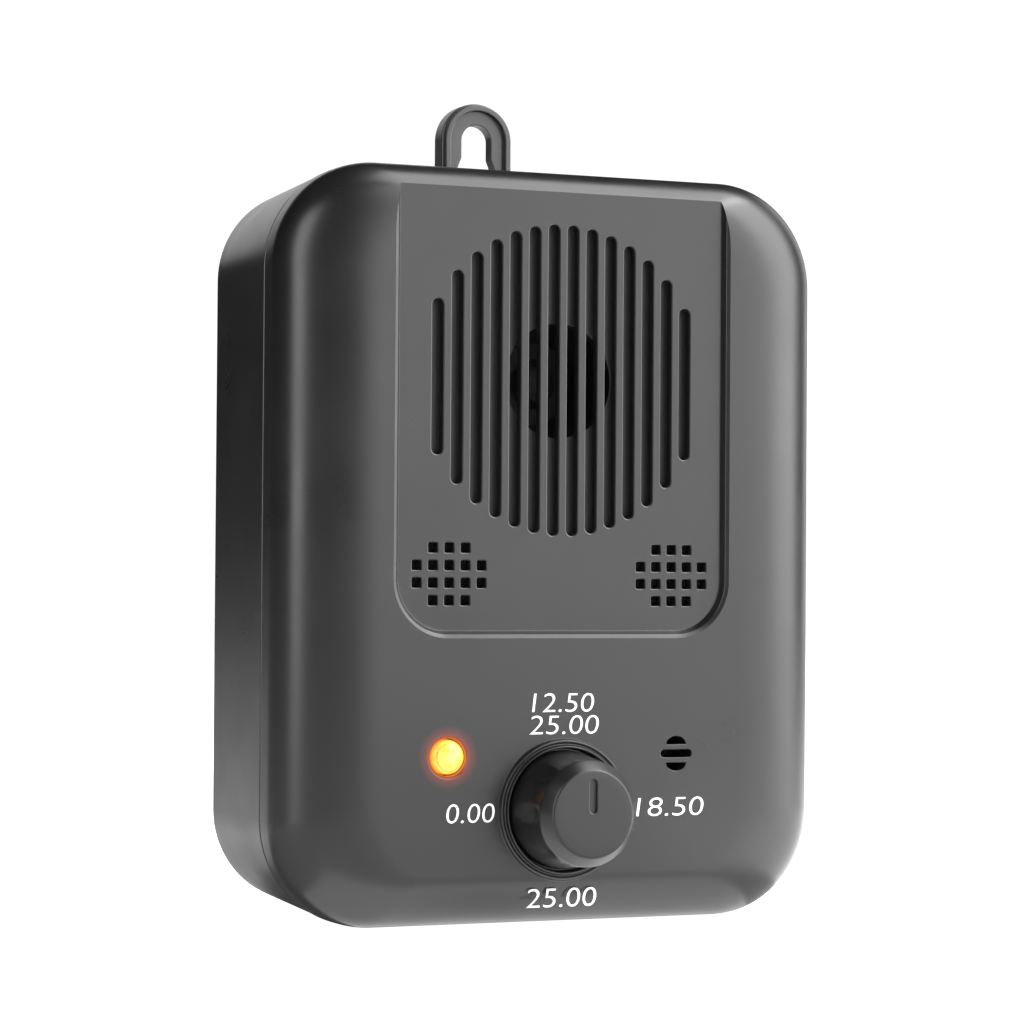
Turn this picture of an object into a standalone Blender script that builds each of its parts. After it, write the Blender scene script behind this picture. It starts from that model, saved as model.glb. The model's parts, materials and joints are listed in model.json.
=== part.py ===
"""Ultrasonic pest repeller: a battery powered box that hangs by its tab or rests on its back.

Metres, +Z up. The front faces -Y, and the origin is the middle of the bounding box's bottom.
Places are given as (x, depth, z), where depth is the distance behind the front shell's flat face.
"""

import math

import bmesh
import bpy
from mathutils import Vector

MM = 0.001
GAP = 0.3 * MM

# Body: a front shell and a rear shell that meet at a seam.
BODY_WIDTH = 87.3 * MM
BODY_HEIGHT = 111.2 * MM
BODY_DEPTH = 37.4 * MM
CORNER_RADIUS = 15.6 * MM
SEAM_DEPTH = 10.0 * MM
ROUND_OVER_X = 14.6 * MM
ROUND_OVER_Z = 7.7 * MM
ROUND_OVER_DEPTH = 7.0 * MM
CORNER_FLOW = 0.6
FRONT_WALL = 2.6 * MM
SIDE_WALL = 2.4 * MM
LAP_INSET = 1.1 * MM
LAP_DEPTH = 6.6 * MM
REAR_WALL = 2.2 * MM
REAR_STEP = 0.15 * MM
REAR_TAPER = 1.35 * MM
REAR_FILLET = 3.0 * MM
FOOT_INNER_X = 12.0 * MM
FOOT_OUTER_X = 24.0 * MM
FOOT_FRONT = 28.5 * MM
FOOT_BACK = 33.0 * MM

# Recessed panel with the grille and the vents.
PANEL_DEPTH = 1.2 * MM
PANEL_HALF_WIDTH = 26.05 * MM
PANEL_BOTTOM = 43.1 * MM
PANEL_SLOPE = 0.88
PANEL_CORNER = 7.5 * MM
GRILLE_Z = 80.0 * MM
GRILLE_RADIUS = 23.0 * MM
SLOT_COUNT = 14
SLOT_PITCH = 3.077 * MM
SLOT_WIDTH = 1.8 * MM
VENT_X = 17.98 * MM
VENT_Z = 51.35 * MM
VENT_PITCH = 2.55 * MM
VENT_HOLE = 1.5 * MM
VENT_ROWS = (3, 5, 5, 3)

# Selector knob and its switch.
KNOB_Z = 16.9 * MM
KNOB_PROUD = 10.3 * MM
KNOB_BASE_RADIUS = 8.75 * MM
KNOB_SHOULDER_RADIUS = 7.75 * MM
KNOB_CAP_RADIUS = 6.3 * MM
KNOB_CHAMFER = 2.0 * MM
KNOB_FLUTES = 8
KNOB_FLUTE_CUT = 0.05
RING_BASE_RADIUS = 10.35 * MM
RING_TOP_RADIUS = 9.2 * MM
RING_PROUD = 1.0 * MM
WELL_RADIUS = 9.05 * MM
WELL_DEPTH = 0.8 * MM
SHAFT_RADIUS = 3.0 * MM
BUSHING_RADIUS = 4.5 * MM

# Indicator and microphone.
SIGNAL_X = 18.4 * MM
SIGNAL_Z = 24.87 * MM
LED_RADIUS = 2.5 * MM
MICROPHONE_RADIUS = 4.85 * MM

# Board, posts and case screws.
BOARD_DEPTH = 12.0 * MM
BOARD_THICK = 1.6 * MM
BOARD_HALF_WIDTH = 30.0 * MM
BOARD_BOTTOM = 4.8 * MM
BOARD_TOP = 53.0 * MM
BOARD_POSTS = [(x * MM, z * MM) for x in (-27.2, 27.2) for z in (8.2, 49.6)]
CASE_POSTS = [(x * MM, z * MM) for x in (-33.5, 33.5) for z in (10.6, 100.6)]
CASE_POST_DEPTH = 26.0 * MM
CASE_LEDGE_DEPTH = 30.4 * MM

# Tweeter.
FLANGE_RADIUS = 24.6 * MM
THROAT_RADIUS = 8.4 * MM
CAN_RADIUS = 21.5 * MM
TWEETER_POST_RADIUS = 28.0 * MM
TWEETER_ANGLES = [math.radians(degrees) for degrees in (45, 135, 225, 315)]

# Battery bay and its door.
BATTERY_Z = 30.8 * MM
BATTERY_LENGTH = 46.4 * MM
BATTERY_HEIGHT = 26.5 * MM
BATTERY_DEPTH = 17.5 * MM
BATTERY_FACE_X = -20.4 * MM
BATTERY_FRONT = 17.4 * MM
BAY_WALL = 1.5 * MM
BAY_HALF_LENGTH = 28.0 * MM
BAY_BOTTOM = 13.0 * MM
BAY_TOP = 45.0 * MM
BAY_FLOOR = 15.7 * MM
DOOR_HALF_WIDTH = 29.0 * MM
DOOR_BOTTOM = 14.8 * MM
DOOR_TOP = 45.9 * MM
DOOR_THICK = 1.5 * MM
DOOR_LEDGE = 1.0 * MM
HOOK_THICK = 0.8 * MM

# Hanging tab with its keyhole.
TAB_HALF_WIDTH = 5.85 * MM
TAB_TOP = 125.2 * MM
TAB_BOTTOM = 94.3 * MM
TAB_DEPTH = 33.4 * MM
TAB_RIM = 1.1 * MM
TAB_RECESS = 0.9 * MM
KEY_NECK = 2.5 * MM
KEY_FLARE_TOP = 116.6 * MM
KEY_FLARE_ANGLE = math.radians(21.8)
KEY_BULB = 4.3 * MM
POCKET_HALF_WIDTH = 7.9 * MM
POCKET_STEP_Z = 104.5 * MM

FRONT_Y = -(BODY_DEPTH - KNOB_PROUD) / 2
HALF_WIDTH = BODY_WIDTH / 2
SMOOTH_ANGLE = math.radians(35)
CORNER_STEPS = 6
POST_STEPS = 12
SCREW_STEPS = 12
HOLE_STEPS = 10
RING_STEPS = 32


def clear_scene():
    for leftover in list(bpy.data.objects):
        bpy.data.objects.remove(leftover, do_unlink=True)


def place(x, depth, z):
    return Vector((x, FRONT_Y + depth, z))


def material(name, colour, roughness, metallic=0.0):
    found = bpy.data.materials.get(name)
    if found:
        return found
    made = bpy.data.materials.new(name)
    made.use_nodes = True
    shader = made.node_tree.nodes["Principled BSDF"]
    shader.inputs["Base Color"].default_value = (*colour, 1.0)
    shader.inputs["Roughness"].default_value = roughness
    shader.inputs["Metallic"].default_value = metallic
    return made


def shell_plastic():
    return material("shell_plastic", (0.045, 0.045, 0.047), 0.38)


def black_plastic():
    return material("black_plastic", (0.012, 0.012, 0.013), 0.45)


def grey_plastic():
    return material("grey_plastic", (0.03, 0.03, 0.032), 0.55)


def black_rubber():
    return material("black_rubber", (0.015, 0.015, 0.015), 0.8)


def foam():
    return material("foam", (0.02, 0.02, 0.02), 0.95)


def steel():
    return material("zinc_steel", (0.62, 0.62, 0.6), 0.32, 1.0)


def brass():
    return material("brass", (0.72, 0.52, 0.24), 0.3, 1.0)


def cast_alloy():
    return material("cast_alloy", (0.55, 0.55, 0.56), 0.4, 1.0)


def board_green():
    return material("board_green", (0.02, 0.12, 0.05), 0.4)


def chip_black():
    return material("chip_black", (0.02, 0.02, 0.02), 0.6)


def connector_white():
    return material("connector_white", (0.8, 0.78, 0.7), 0.5)


def insulation(colour):
    red = 0.6 if colour == "red" else 0.02
    return material(f"{colour}_insulation", (red, 0.02, 0.02), 0.5)


def solid(name, mesh, finish, origin=(0, 0, 0)):
    """Makes one named object from the bmesh, with its origin at the given place."""
    bmesh.ops.recalc_face_normals(mesh, faces=mesh.faces)
    bmesh.ops.translate(mesh, verts=mesh.verts, vec=-Vector(origin))
    data = bpy.data.meshes.new(name)
    mesh.to_mesh(data)
    mesh.free()
    data.materials.append(finish)
    data.shade_smooth()
    data.set_sharp_from_angle(angle=SMOOTH_ANGLE)
    made = bpy.data.objects.new(name, data)
    made.location = origin
    bpy.context.scene.collection.objects.link(made)
    return made


def boolean(target, mesh, operation, label):
    """Joins a helper solid to the target, or cuts it away. The helper stays hidden."""
    helper = solid(f"{target.name}_{label}", mesh, target.data.materials[0])
    helper.hide_render = True
    helper.display_type = "WIRE"
    modifier = target.modifiers.new(label, "BOOLEAN")
    modifier.operation = operation
    modifier.solver = "EXACT"
    modifier.object = helper


def join(target, mesh, label):
    boolean(target, mesh, "UNION", label)


def cut(target, mesh, label):
    boolean(target, mesh, "DIFFERENCE", label)


def bevel(target, width, segments=1):
    modifier = target.modifiers.new("soft_edges", "BEVEL")
    modifier.width = width
    modifier.segments = segments
    modifier.limit_method = "ANGLE"
    modifier.angle_limit = math.radians(50)


def add_loft(mesh, rings, closed=False):
    """Skins a list of rings of points. Open lofts get a flat cap at both ends."""
    loops = [[mesh.verts.new(point) for point in ring] for ring in rings]
    pairs = list(zip(loops, loops[1:]))
    if closed:
        pairs.append((loops[-1], loops[0]))
    for first, second in pairs:
        count = len(first)
        for index in range(count):
            after = (index + 1) % count
            mesh.faces.new((first[index], first[after], second[after], second[index]))
    if not closed:
        mesh.faces.new(loops[0])
        mesh.faces.new(loops[-1])


def add_box(mesh, low, high):
    """A box between two (x, depth, z) corners."""
    rings = []
    for depth in (low[1], high[1]):
        outline = ((low[0], low[2]), (high[0], low[2]), (high[0], high[2]), (low[0], high[2]))
        rings.append([place(x, depth, z) for x, z in outline])
    add_loft(mesh, rings)


def add_prism(mesh, outline, front, back):
    """A prism of the (x, z) outline between two depths."""
    add_loft(mesh, [[place(x, depth, z) for x, z in outline] for depth in (front, back)])


def add_turned(mesh, profile, x, z, steps=24, shape=None):
    """Turns a profile of (radius, depth) round the line through (x, z) that runs front to back.

    A profile whose ends are on the axis is a plain solid; any other profile is a closed ring.
    shape, if given, returns each point's radius from its radius, depth and angle.
    """
    loops = []
    for radius, depth in profile:
        if radius == 0:
            loops.append([mesh.verts.new(place(x, depth, z))])
            continue
        ring = []
        for step in range(steps):
            angle = 2 * math.pi * step / steps
            reach = shape(radius, depth, angle) if shape else radius
            ring.append(mesh.verts.new(place(x + reach * math.cos(angle), depth, z + reach * math.sin(angle))))
        loops.append(ring)
    pairs = list(zip(loops, loops[1:]))
    if profile[0][0] > 0:
        pairs.append((loops[-1], loops[0]))
    for first, second in pairs:
        for step in range(steps):
            after = (step + 1) % steps
            if len(first) == 1:
                mesh.faces.new((first[0], second[after], second[step]))
            elif len(second) == 1:
                mesh.faces.new((first[step], first[after], second[0]))
            else:
                mesh.faces.new((first[step], first[after], second[after], second[step]))


def cylinder_profile(radius, front, back):
    return [(0, front), (radius, front), (radius, back), (0, back)]


def tube_profile(inner, outer, front, back):
    return [(inner, front), (outer, front), (outer, back), (inner, back)]


def turned(name, profile, x, z, finish, steps=24, origin=(0, 0, 0)):
    mesh = bmesh.new()
    add_turned(mesh, profile, x, z, steps)
    return solid(name, mesh, finish, origin)


def box(name, low, high, finish, edge=0.0):
    mesh = bmesh.new()
    add_box(mesh, low, high)
    made = solid(name, mesh, finish)
    if edge:
        bevel(made, edge)
    return made


def arc(x, z, radius_x, radius_z, start, stop, steps):
    """Points along an elliptical arc, angles in degrees."""
    points = []
    for step in range(steps + 1):
        angle = math.radians(start + (stop - start) * step / steps)
        points.append((x + radius_x * math.cos(angle), z + radius_z * math.sin(angle)))
    return points


def body_ring(depth, inset_x, inset_z=None, flow=1.0):
    """The body's outline, moved in, at one depth. flow is how much the corner radii shrink with it."""
    inset_z = inset_x if inset_z is None else inset_z
    radius_x = CORNER_RADIUS - flow * inset_x
    radius_z = CORNER_RADIUS - flow * inset_z
    across = HALF_WIDTH - inset_x - radius_x
    low = inset_z + radius_z
    high = BODY_HEIGHT - inset_z - radius_z
    points = []
    for x, z, start in ((across, high, 0), (-across, high, 90), (-across, low, 180), (across, low, 270)):
        points += arc(x, z, radius_x, radius_z, start, start + 90, CORNER_STEPS)
    return [place(x, depth, z) for x, z in points]


def round_over(front, base_inset, extra_x, extra_z, extra_depth, steps):
    """Rings of the front's rounded edge, from its flat face back to the side wall."""
    rings = []
    for step in range(steps + 1):
        angle = math.radians(90 - 90 * step / steps)
        inward = 1 - math.cos(angle)
        depth = front + extra_depth * (1 - math.sin(angle))
        inset_x = base_inset + extra_x * inward
        inset_z = base_inset + extra_z * inward
        radius_loss = base_inset + CORNER_FLOW * extra_x * inward
        rings.append(body_ring(depth, inset_x, inset_z, radius_loss / inset_x if inset_x else 1.0))
    return rings


def front_shell():
    """The front cover: a cup with a wide rounded edge, a recessed panel, holes and screw posts."""
    outside = round_over(0, 0, ROUND_OVER_X, ROUND_OVER_Z, ROUND_OVER_DEPTH, 5)
    outside.append(body_ring(SEAM_DEPTH, 0))
    lap = [body_ring(SEAM_DEPTH, LAP_INSET), body_ring(LAP_DEPTH, LAP_INSET)]
    extra_x = ROUND_OVER_X - 2 * MM
    extra_z = ROUND_OVER_Z - 2 * MM
    inside = round_over(FRONT_WALL, SIDE_WALL, extra_x, extra_z, LAP_DEPTH - FRONT_WALL, 4)
    mesh = bmesh.new()
    add_loft(mesh, outside + lap + inside[::-1])
    shell = solid("front_shell", mesh, shell_plastic())
    join(shell, front_bosses(), "bosses")
    cut(shell, panel_recess(), "panel_recess")
    cut(shell, front_holes(), "holes")


def front_bosses():
    """Screw posts behind the front wall, and the raised ring round the knob."""
    root = FRONT_WALL - 0.4 * MM
    mesh = bmesh.new()
    for x, z in CASE_POSTS:
        add_turned(mesh, cylinder_profile(3.2 * MM, root, CASE_POST_DEPTH), x, z, POST_STEPS)
    for x, z in BOARD_POSTS:
        add_turned(mesh, cylinder_profile(2.6 * MM, root, BOARD_DEPTH - GAP), x, z, POST_STEPS)
    for x, z in tweeter_screw_places():
        add_turned(mesh, cylinder_profile(2.4 * MM, root, 6.6 * MM), x, z, POST_STEPS)
    ring = [
        (WELL_RADIUS - 0.4 * MM, 0.4 * MM),
        (RING_BASE_RADIUS, 0.4 * MM),
        (RING_BASE_RADIUS, 0),
        (RING_TOP_RADIUS + 0.25 * MM, -RING_PROUD + 0.1 * MM),
        (RING_TOP_RADIUS, -RING_PROUD),
        (WELL_RADIUS - 0.4 * MM, -RING_PROUD),
    ]
    add_turned(mesh, ring, 0, KNOB_Z, RING_STEPS)
    return mesh


def panel_recess():
    """The U-shaped recess: its sloping walls run up and out through the top of the rounded edge."""
    rings = []
    for depth in (-1 * MM, PANEL_DEPTH):
        out = PANEL_SLOPE * (PANEL_DEPTH - depth)
        half = PANEL_HALF_WIDTH + out
        radius = PANEL_CORNER + out
        low = PANEL_BOTTOM - out
        outline = [(half, BODY_HEIGHT + 5 * MM), (-half, BODY_HEIGHT + 5 * MM)]
        outline += arc(-half + radius, low + radius, radius, radius, 180, 270, CORNER_STEPS)
        outline += arc(half - radius, low + radius, radius, radius, 270, 360, CORNER_STEPS)
        rings.append([place(x, depth, z) for x, z in outline])
    mesh = bmesh.new()
    add_loft(mesh, rings)
    return mesh


def slot_outline(x, z, half_length, half_width):
    """A vertical slot with round ends."""
    reach = half_length - half_width
    top = arc(x, z + reach, half_width, half_width, 0, 180, 4)
    bottom = arc(x, z - reach, half_width, half_width, 180, 360, 4)
    return top + bottom


def front_holes():
    """Every hole through the front wall, and the pilot holes in its posts."""
    behind = FRONT_WALL + 0.8 * MM
    mesh = bmesh.new()
    for index in range(SLOT_COUNT):
        x = (index - (SLOT_COUNT - 1) / 2) * SLOT_PITCH
        half_length = math.sqrt(GRILLE_RADIUS**2 - x**2)
        add_prism(mesh, slot_outline(x, GRILLE_Z, half_length, SLOT_WIDTH / 2), 0.5 * MM, behind)
    for side in (-1, 1):
        for x, z in vent_places(side * VENT_X):
            half = VENT_HOLE / 2
            add_box(mesh, (x - half, 0.5 * MM, z - half), (x + half, behind, z + half))
    well = [
        (0, -2 * MM),
        (WELL_RADIUS, -2 * MM),
        (WELL_RADIUS, WELL_DEPTH),
        (BUSHING_RADIUS + GAP, WELL_DEPTH),
        (BUSHING_RADIUS + GAP, behind),
        (0, behind),
    ]
    add_turned(mesh, well, 0, KNOB_Z, RING_STEPS)
    led_hole = [
        (0, -1 * MM),
        (LED_RADIUS + 1.5 * MM, -1 * MM),
        (LED_RADIUS + GAP, 0.25 * MM),
        (LED_RADIUS + GAP, behind),
        (0, behind),
    ]
    add_turned(mesh, led_hole, -SIGNAL_X, SIGNAL_Z, 20)
    for outline in microphone_slots():
        add_prism(mesh, outline, -1 * MM, behind)
    for x, z in CASE_POSTS:
        add_turned(mesh, cylinder_profile(1.5 * MM, 12 * MM, CASE_POST_DEPTH + 1 * MM), x, z, HOLE_STEPS)
    for x, z in BOARD_POSTS:
        add_turned(mesh, cylinder_profile(1.3 * MM, 5 * MM, BOARD_DEPTH + 1 * MM), x, z, HOLE_STEPS)
    for x, z in tweeter_screw_places():
        add_turned(mesh, cylinder_profile(1.3 * MM, 3.2 * MM, 7.6 * MM), x, z, HOLE_STEPS)
    return mesh


def vent_places(middle_x):
    """Centres of one cluster of square holes, row by row."""
    places = []
    for row, count in enumerate(VENT_ROWS):
        z = VENT_Z + ((len(VENT_ROWS) - 1) / 2 - row) * VENT_PITCH
        for column in range(count):
            places.append((middle_x + (column - (count - 1) / 2) * VENT_PITCH, z))
    return places


def microphone_slots():
    """A round-ended slot between two half-round ones."""
    middle = arc(SIGNAL_X + 2.0 * MM, SIGNAL_Z, 0.6 * MM, 0.6 * MM, -90, 90, 4)
    middle += arc(SIGNAL_X - 2.0 * MM, SIGNAL_Z, 0.6 * MM, 0.6 * MM, 90, 270, 4)
    upper = arc(SIGNAL_X, SIGNAL_Z + 1.35 * MM, 1.65 * MM, 1.25 * MM, 0, 180, 6)
    lower = arc(SIGNAL_X, SIGNAL_Z - 1.35 * MM, 1.65 * MM, 1.25 * MM, 180, 360, 6)
    return middle, upper, lower


def rear_shell():
    """The deep rear cover: a tapering cup with a tongue, screw tubes, the bay and the tab's pocket."""
    inner_depth = BODY_DEPTH - REAR_WALL
    outside = [body_ring(SEAM_DEPTH + GAP, REAR_STEP)]
    for step in range(5):
        angle = math.radians(90 * step / 4)
        inset = REAR_TAPER + REAR_FILLET * (1 - math.cos(angle))
        outside.append(body_ring(BODY_DEPTH - REAR_FILLET * (1 - math.sin(angle)), inset))
    tongue = [
        body_ring(SEAM_DEPTH + GAP, LAP_INSET + GAP),
        body_ring(SEAM_DEPTH - 1.7 * MM, LAP_INSET + GAP),
        body_ring(SEAM_DEPTH - 1.7 * MM, SIDE_WALL),
    ]
    inside = [
        body_ring(inner_depth - 1.7 * MM, SIDE_WALL + 1.2 * MM),
        body_ring(inner_depth, SIDE_WALL + 2.9 * MM),
    ]
    mesh = bmesh.new()
    add_loft(mesh, outside[::-1] + tongue + inside)
    shell = solid("rear_shell", mesh, shell_plastic())
    join(shell, rear_feet(), "feet")
    join(shell, rear_tubes(), "screw_tubes")
    join(shell, rear_blocks(), "bay_and_pocket")
    cut(shell, rear_screw_holes(), "screw_holes")
    cut(shell, bay_room(), "bay_room")
    cut(shell, lead_slot(), "lead_slot")
    cut(shell, bay_opening(), "bay_opening")
    cut(shell, door_rebate(), "door_rebate")
    cut(shell, pocket_room(), "pocket_room")
    cut(shell, pocket_slot(), "pocket_slot")


def rear_feet():
    """Two low ribs under the tapering rear shell, level with the front shell's lower edge."""
    mesh = bmesh.new()
    for side in (-1, 1):
        across = sorted((side * FOOT_INNER_X, side * FOOT_OUTER_X))
        add_box(mesh, (across[0], FOOT_FRONT, 0), (across[1], FOOT_BACK, REAR_TAPER + 1.2 * MM))
    return mesh


def rear_tubes():
    mesh = bmesh.new()
    for x, z in CASE_POSTS:
        add_turned(mesh, cylinder_profile(3.8 * MM, CASE_POST_DEPTH + GAP, 36 * MM), x, z, POST_STEPS)
    return mesh


def rear_blocks():
    """The outsides of the battery bay and of the tab's pocket."""
    front = BAY_FLOOR - BAY_WALL
    half = BAY_HALF_LENGTH + BAY_WALL
    mesh = bmesh.new()
    add_box(mesh, (-half, front, BAY_BOTTOM - BAY_WALL), (half, 36 * MM, BAY_TOP + BAY_WALL))
    half = POCKET_HALF_WIDTH + 1.6 * MM
    add_box(mesh, (-half, 28 * MM, TAB_BOTTOM - 1.9 * MM), (half, 36 * MM, BODY_HEIGHT - 2.7 * MM))
    return mesh


def rear_screw_holes():
    mesh = bmesh.new()
    for x, z in CASE_POSTS:
        profile = [
            (0, CASE_POST_DEPTH - 1 * MM),
            (1.75 * MM, CASE_POST_DEPTH - 1 * MM),
            (1.75 * MM, CASE_LEDGE_DEPTH),
            (3.1 * MM, CASE_LEDGE_DEPTH),
            (3.1 * MM, BODY_DEPTH + 1 * MM),
            (0, BODY_DEPTH + 1 * MM),
        ]
        add_turned(mesh, profile, x, z, POST_STEPS)
    return mesh


def bay_room():
    """The room for the battery."""
    back = BODY_DEPTH - DOOR_THICK - GAP - DOOR_LEDGE
    mesh = bmesh.new()
    low = (-BAY_HALF_LENGTH, BAY_FLOOR, BAY_BOTTOM)
    add_box(mesh, low, (BAY_HALF_LENGTH, back, BAY_TOP))
    return mesh


def lead_slot():
    """A slot in the bay's end wall for the battery leads."""
    outer = -BAY_HALF_LENGTH - 3 * MM
    mesh = bmesh.new()
    add_box(mesh, (outer, 24.2 * MM, 25 * MM), (outer + 4 * MM, 28.6 * MM, 34.5 * MM))
    return mesh


def bay_opening():
    back = BODY_DEPTH - DOOR_THICK - GAP
    half = DOOR_HALF_WIDTH - 1.4 * MM
    mesh = bmesh.new()
    low = DOOR_BOTTOM + 1.1 * MM
    add_box(mesh, (-half, back - 2 * DOOR_LEDGE, low), (half, back + 1 * MM, DOOR_TOP - 1.5 * MM))
    return mesh


def door_rebate():
    """The sunk frame that the door lies in, with a finger scoop above it."""
    back = BODY_DEPTH - DOOR_THICK - GAP
    half = DOOR_HALF_WIDTH + GAP
    scoop = 7 * MM
    outline = [(-half, DOOR_BOTTOM - GAP), (half, DOOR_BOTTOM - GAP), (half, DOOR_TOP + GAP)]
    outline += arc(0, DOOR_TOP + GAP, scoop, 3.6 * MM, 0, 180, 10)
    outline += [(-half, DOOR_TOP + GAP)]
    mesh = bmesh.new()
    add_prism(mesh, outline, back, BODY_DEPTH + 1 * MM)
    return mesh


def pocket_room():
    """Room for the tab's wings, and above it for the head of the nail or screw."""
    mesh = bmesh.new()
    half = POCKET_HALF_WIDTH
    profile = [
        (TAB_DEPTH - GAP, TAB_BOTTOM - GAP),
        (BODY_DEPTH - 2.1 * MM, TAB_BOTTOM - GAP),
        (BODY_DEPTH - 2.1 * MM, BODY_HEIGHT + 2 * MM),
        (29.6 * MM, BODY_HEIGHT + 2 * MM),
        (29.6 * MM, POCKET_STEP_Z),
        (TAB_DEPTH - GAP, POCKET_STEP_Z),
    ]
    add_loft(mesh, [[place(x, depth, z) for depth, z in profile] for x in (-half, half)])
    return mesh


def pocket_slot():
    half = TAB_HALF_WIDTH + GAP
    mesh = bmesh.new()
    low = (-half, BODY_DEPTH - 3 * MM, TAB_BOTTOM - GAP)
    add_box(mesh, low, (half, BODY_DEPTH + 1 * MM, BODY_HEIGHT + 2 * MM))
    return mesh


def tab_outline(inset, bottom):
    half = TAB_HALF_WIDTH - inset
    centre = TAB_TOP - TAB_HALF_WIDTH
    return [(-half, bottom), (half, bottom)] + arc(0, centre, half, half, 0, 180, 12)


def keyhole_outline():
    """A round-topped neck that flares down into a round hole for the head."""
    centre = TAB_TOP - TAB_HALF_WIDTH
    tangent_x = KEY_BULB * math.cos(KEY_FLARE_ANGLE)
    flare_drop = (tangent_x - KEY_NECK) / math.tan(KEY_FLARE_ANGLE)
    bulb_z = KEY_FLARE_TOP - flare_drop - KEY_BULB * math.sin(KEY_FLARE_ANGLE)
    start = math.degrees(KEY_FLARE_ANGLE)
    outline = [(KEY_NECK, KEY_FLARE_TOP)]
    outline += arc(0, centre, KEY_NECK, KEY_NECK, 0, 180, 8)
    outline += [(-KEY_NECK, KEY_FLARE_TOP)]
    outline += arc(0, bulb_z, KEY_BULB, KEY_BULB, 180 - start, 360 + start, 12)
    return outline


def hanging_tab():
    """The tab, thinned between its rims, with side wings that slide down grooves in the rear shell."""
    mesh = bmesh.new()
    add_prism(mesh, tab_outline(0, TAB_BOTTOM), TAB_DEPTH, BODY_DEPTH)
    tab = solid("hanging_tab", mesh, shell_plastic())
    wings = bmesh.new()
    wing = POCKET_HALF_WIDTH - GAP
    add_box(wings, (-wing, TAB_DEPTH, TAB_BOTTOM), (wing, BODY_DEPTH - 2.4 * MM, POCKET_STEP_Z - 1 * MM))
    join(tab, wings, "wings")
    faces = bmesh.new()
    thin = tab_outline(TAB_RIM, POCKET_STEP_Z + 1 * MM)
    add_prism(faces, thin, TAB_DEPTH - 1 * MM, TAB_DEPTH + TAB_RECESS)
    add_prism(faces, thin, BODY_DEPTH - TAB_RECESS, BODY_DEPTH + 1 * MM)
    cut(tab, faces, "face_recesses")
    keyhole = bmesh.new()
    add_prism(keyhole, keyhole_outline(), TAB_DEPTH - 1 * MM, BODY_DEPTH + 1 * MM)
    cut(tab, keyhole, "keyhole")


def case_seal():
    """A flat cord of rubber in the step behind the tongue."""
    front = LAP_DEPTH + GAP
    back = SEAM_DEPTH - 1.7 * MM - GAP
    inner = SIDE_WALL - GAP
    outer = LAP_INSET + GAP
    rings = [body_ring(front, outer), body_ring(back, outer), body_ring(back, inner), body_ring(front, inner)]
    mesh = bmesh.new()
    add_loft(mesh, rings, closed=True)
    solid("case_seal", mesh, black_rubber())


def battery_door():
    """A tilt-out lid: two hooks at its foot, a spring latch at its head. Its origin is on its hinge."""
    back = BODY_DEPTH
    front = BODY_DEPTH - DOOR_THICK
    hinge = place(0, back, DOOR_BOTTOM)
    mesh = bmesh.new()
    add_box(mesh, (-DOOR_HALF_WIDTH, front, DOOR_BOTTOM), (DOOR_HALF_WIDTH, back, DOOR_TOP))
    door = solid("battery_door", mesh, shell_plastic(), hinge)
    ledge_front = front - GAP - DOOR_LEDGE
    hook_back = ledge_front - GAP
    hook_front = hook_back - HOOK_THICK
    profile = [
        (front + 0.5 * MM, DOOR_BOTTOM + 1.4 * MM),
        (front + 0.5 * MM, DOOR_BOTTOM + 2.2 * MM),
        (hook_back, DOOR_BOTTOM + 2.2 * MM),
        (hook_front, DOOR_BOTTOM + 0.9 * MM),
        (hook_front, DOOR_BOTTOM - 0.9 * MM),
        (hook_back, DOOR_BOTTOM - 0.9 * MM),
        (hook_back, DOOR_BOTTOM + 1.4 * MM),
    ]
    hooks = bmesh.new()
    for side in (-1, 1):
        ends = (side * 14 * MM, side * 22 * MM)
        add_loft(hooks, [[place(x, depth, z) for depth, z in profile] for x in ends])
    join(door, hooks, "hooks")
    latch = bmesh.new()
    low = (-4 * MM, front - 0.5 * MM, DOOR_TOP - 3.4 * MM)
    add_box(latch, low, (4 * MM, front + 0.5 * MM, DOOR_TOP - 1.9 * MM))
    join(door, latch, "latch")
    ribs = bmesh.new()
    for row in range(4):
        z = DOOR_TOP - (3.2 + 1.6 * row) * MM
        add_box(ribs, (-6 * MM, back - 0.5 * MM, z - 0.4 * MM), (6 * MM, back + 1 * MM, z + 0.4 * MM))
    cut(door, ribs, "grip_grooves")


def selector_knob():
    """A tapered, fluted cap with a pointer groove, hollow behind for the nut. It turns with the shaft."""
    cap = -KNOB_PROUD
    shoulder = cap + KNOB_CHAMFER
    base = WELL_DEPTH - GAP

    def fluted(radius, depth, angle):
        if depth > shoulder + 0.1 * MM:
            return radius
        return radius * (1 - KNOB_FLUTE_CUT * max(0.0, math.cos(KNOB_FLUTES * angle)))

    hollow = 7.2 * MM
    profile = [
        (0, cap),
        (KNOB_CAP_RADIUS, cap),
        (KNOB_SHOULDER_RADIUS, shoulder),
        (KNOB_SHOULDER_RADIUS + 0.15 * MM, shoulder + 1.2 * MM),
        (KNOB_BASE_RADIUS, base),
        (hollow, base),
        (hollow, -3.9 * MM),
        (SHAFT_RADIUS + GAP, -3.9 * MM),
        (SHAFT_RADIUS + GAP, shoulder),
        (0, shoulder),
    ]
    mesh = bmesh.new()
    add_turned(mesh, profile, 0, KNOB_Z, 32, fluted)
    knob = solid("selector_knob", mesh, black_plastic(), place(0, 0, KNOB_Z))
    pointer = bmesh.new()
    add_box(pointer, (-0.65 * MM, cap - 1 * MM, KNOB_Z), (0.65 * MM, cap + 0.5 * MM, KNOB_Z + 5.1 * MM))
    cut(knob, pointer, "pointer")


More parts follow.
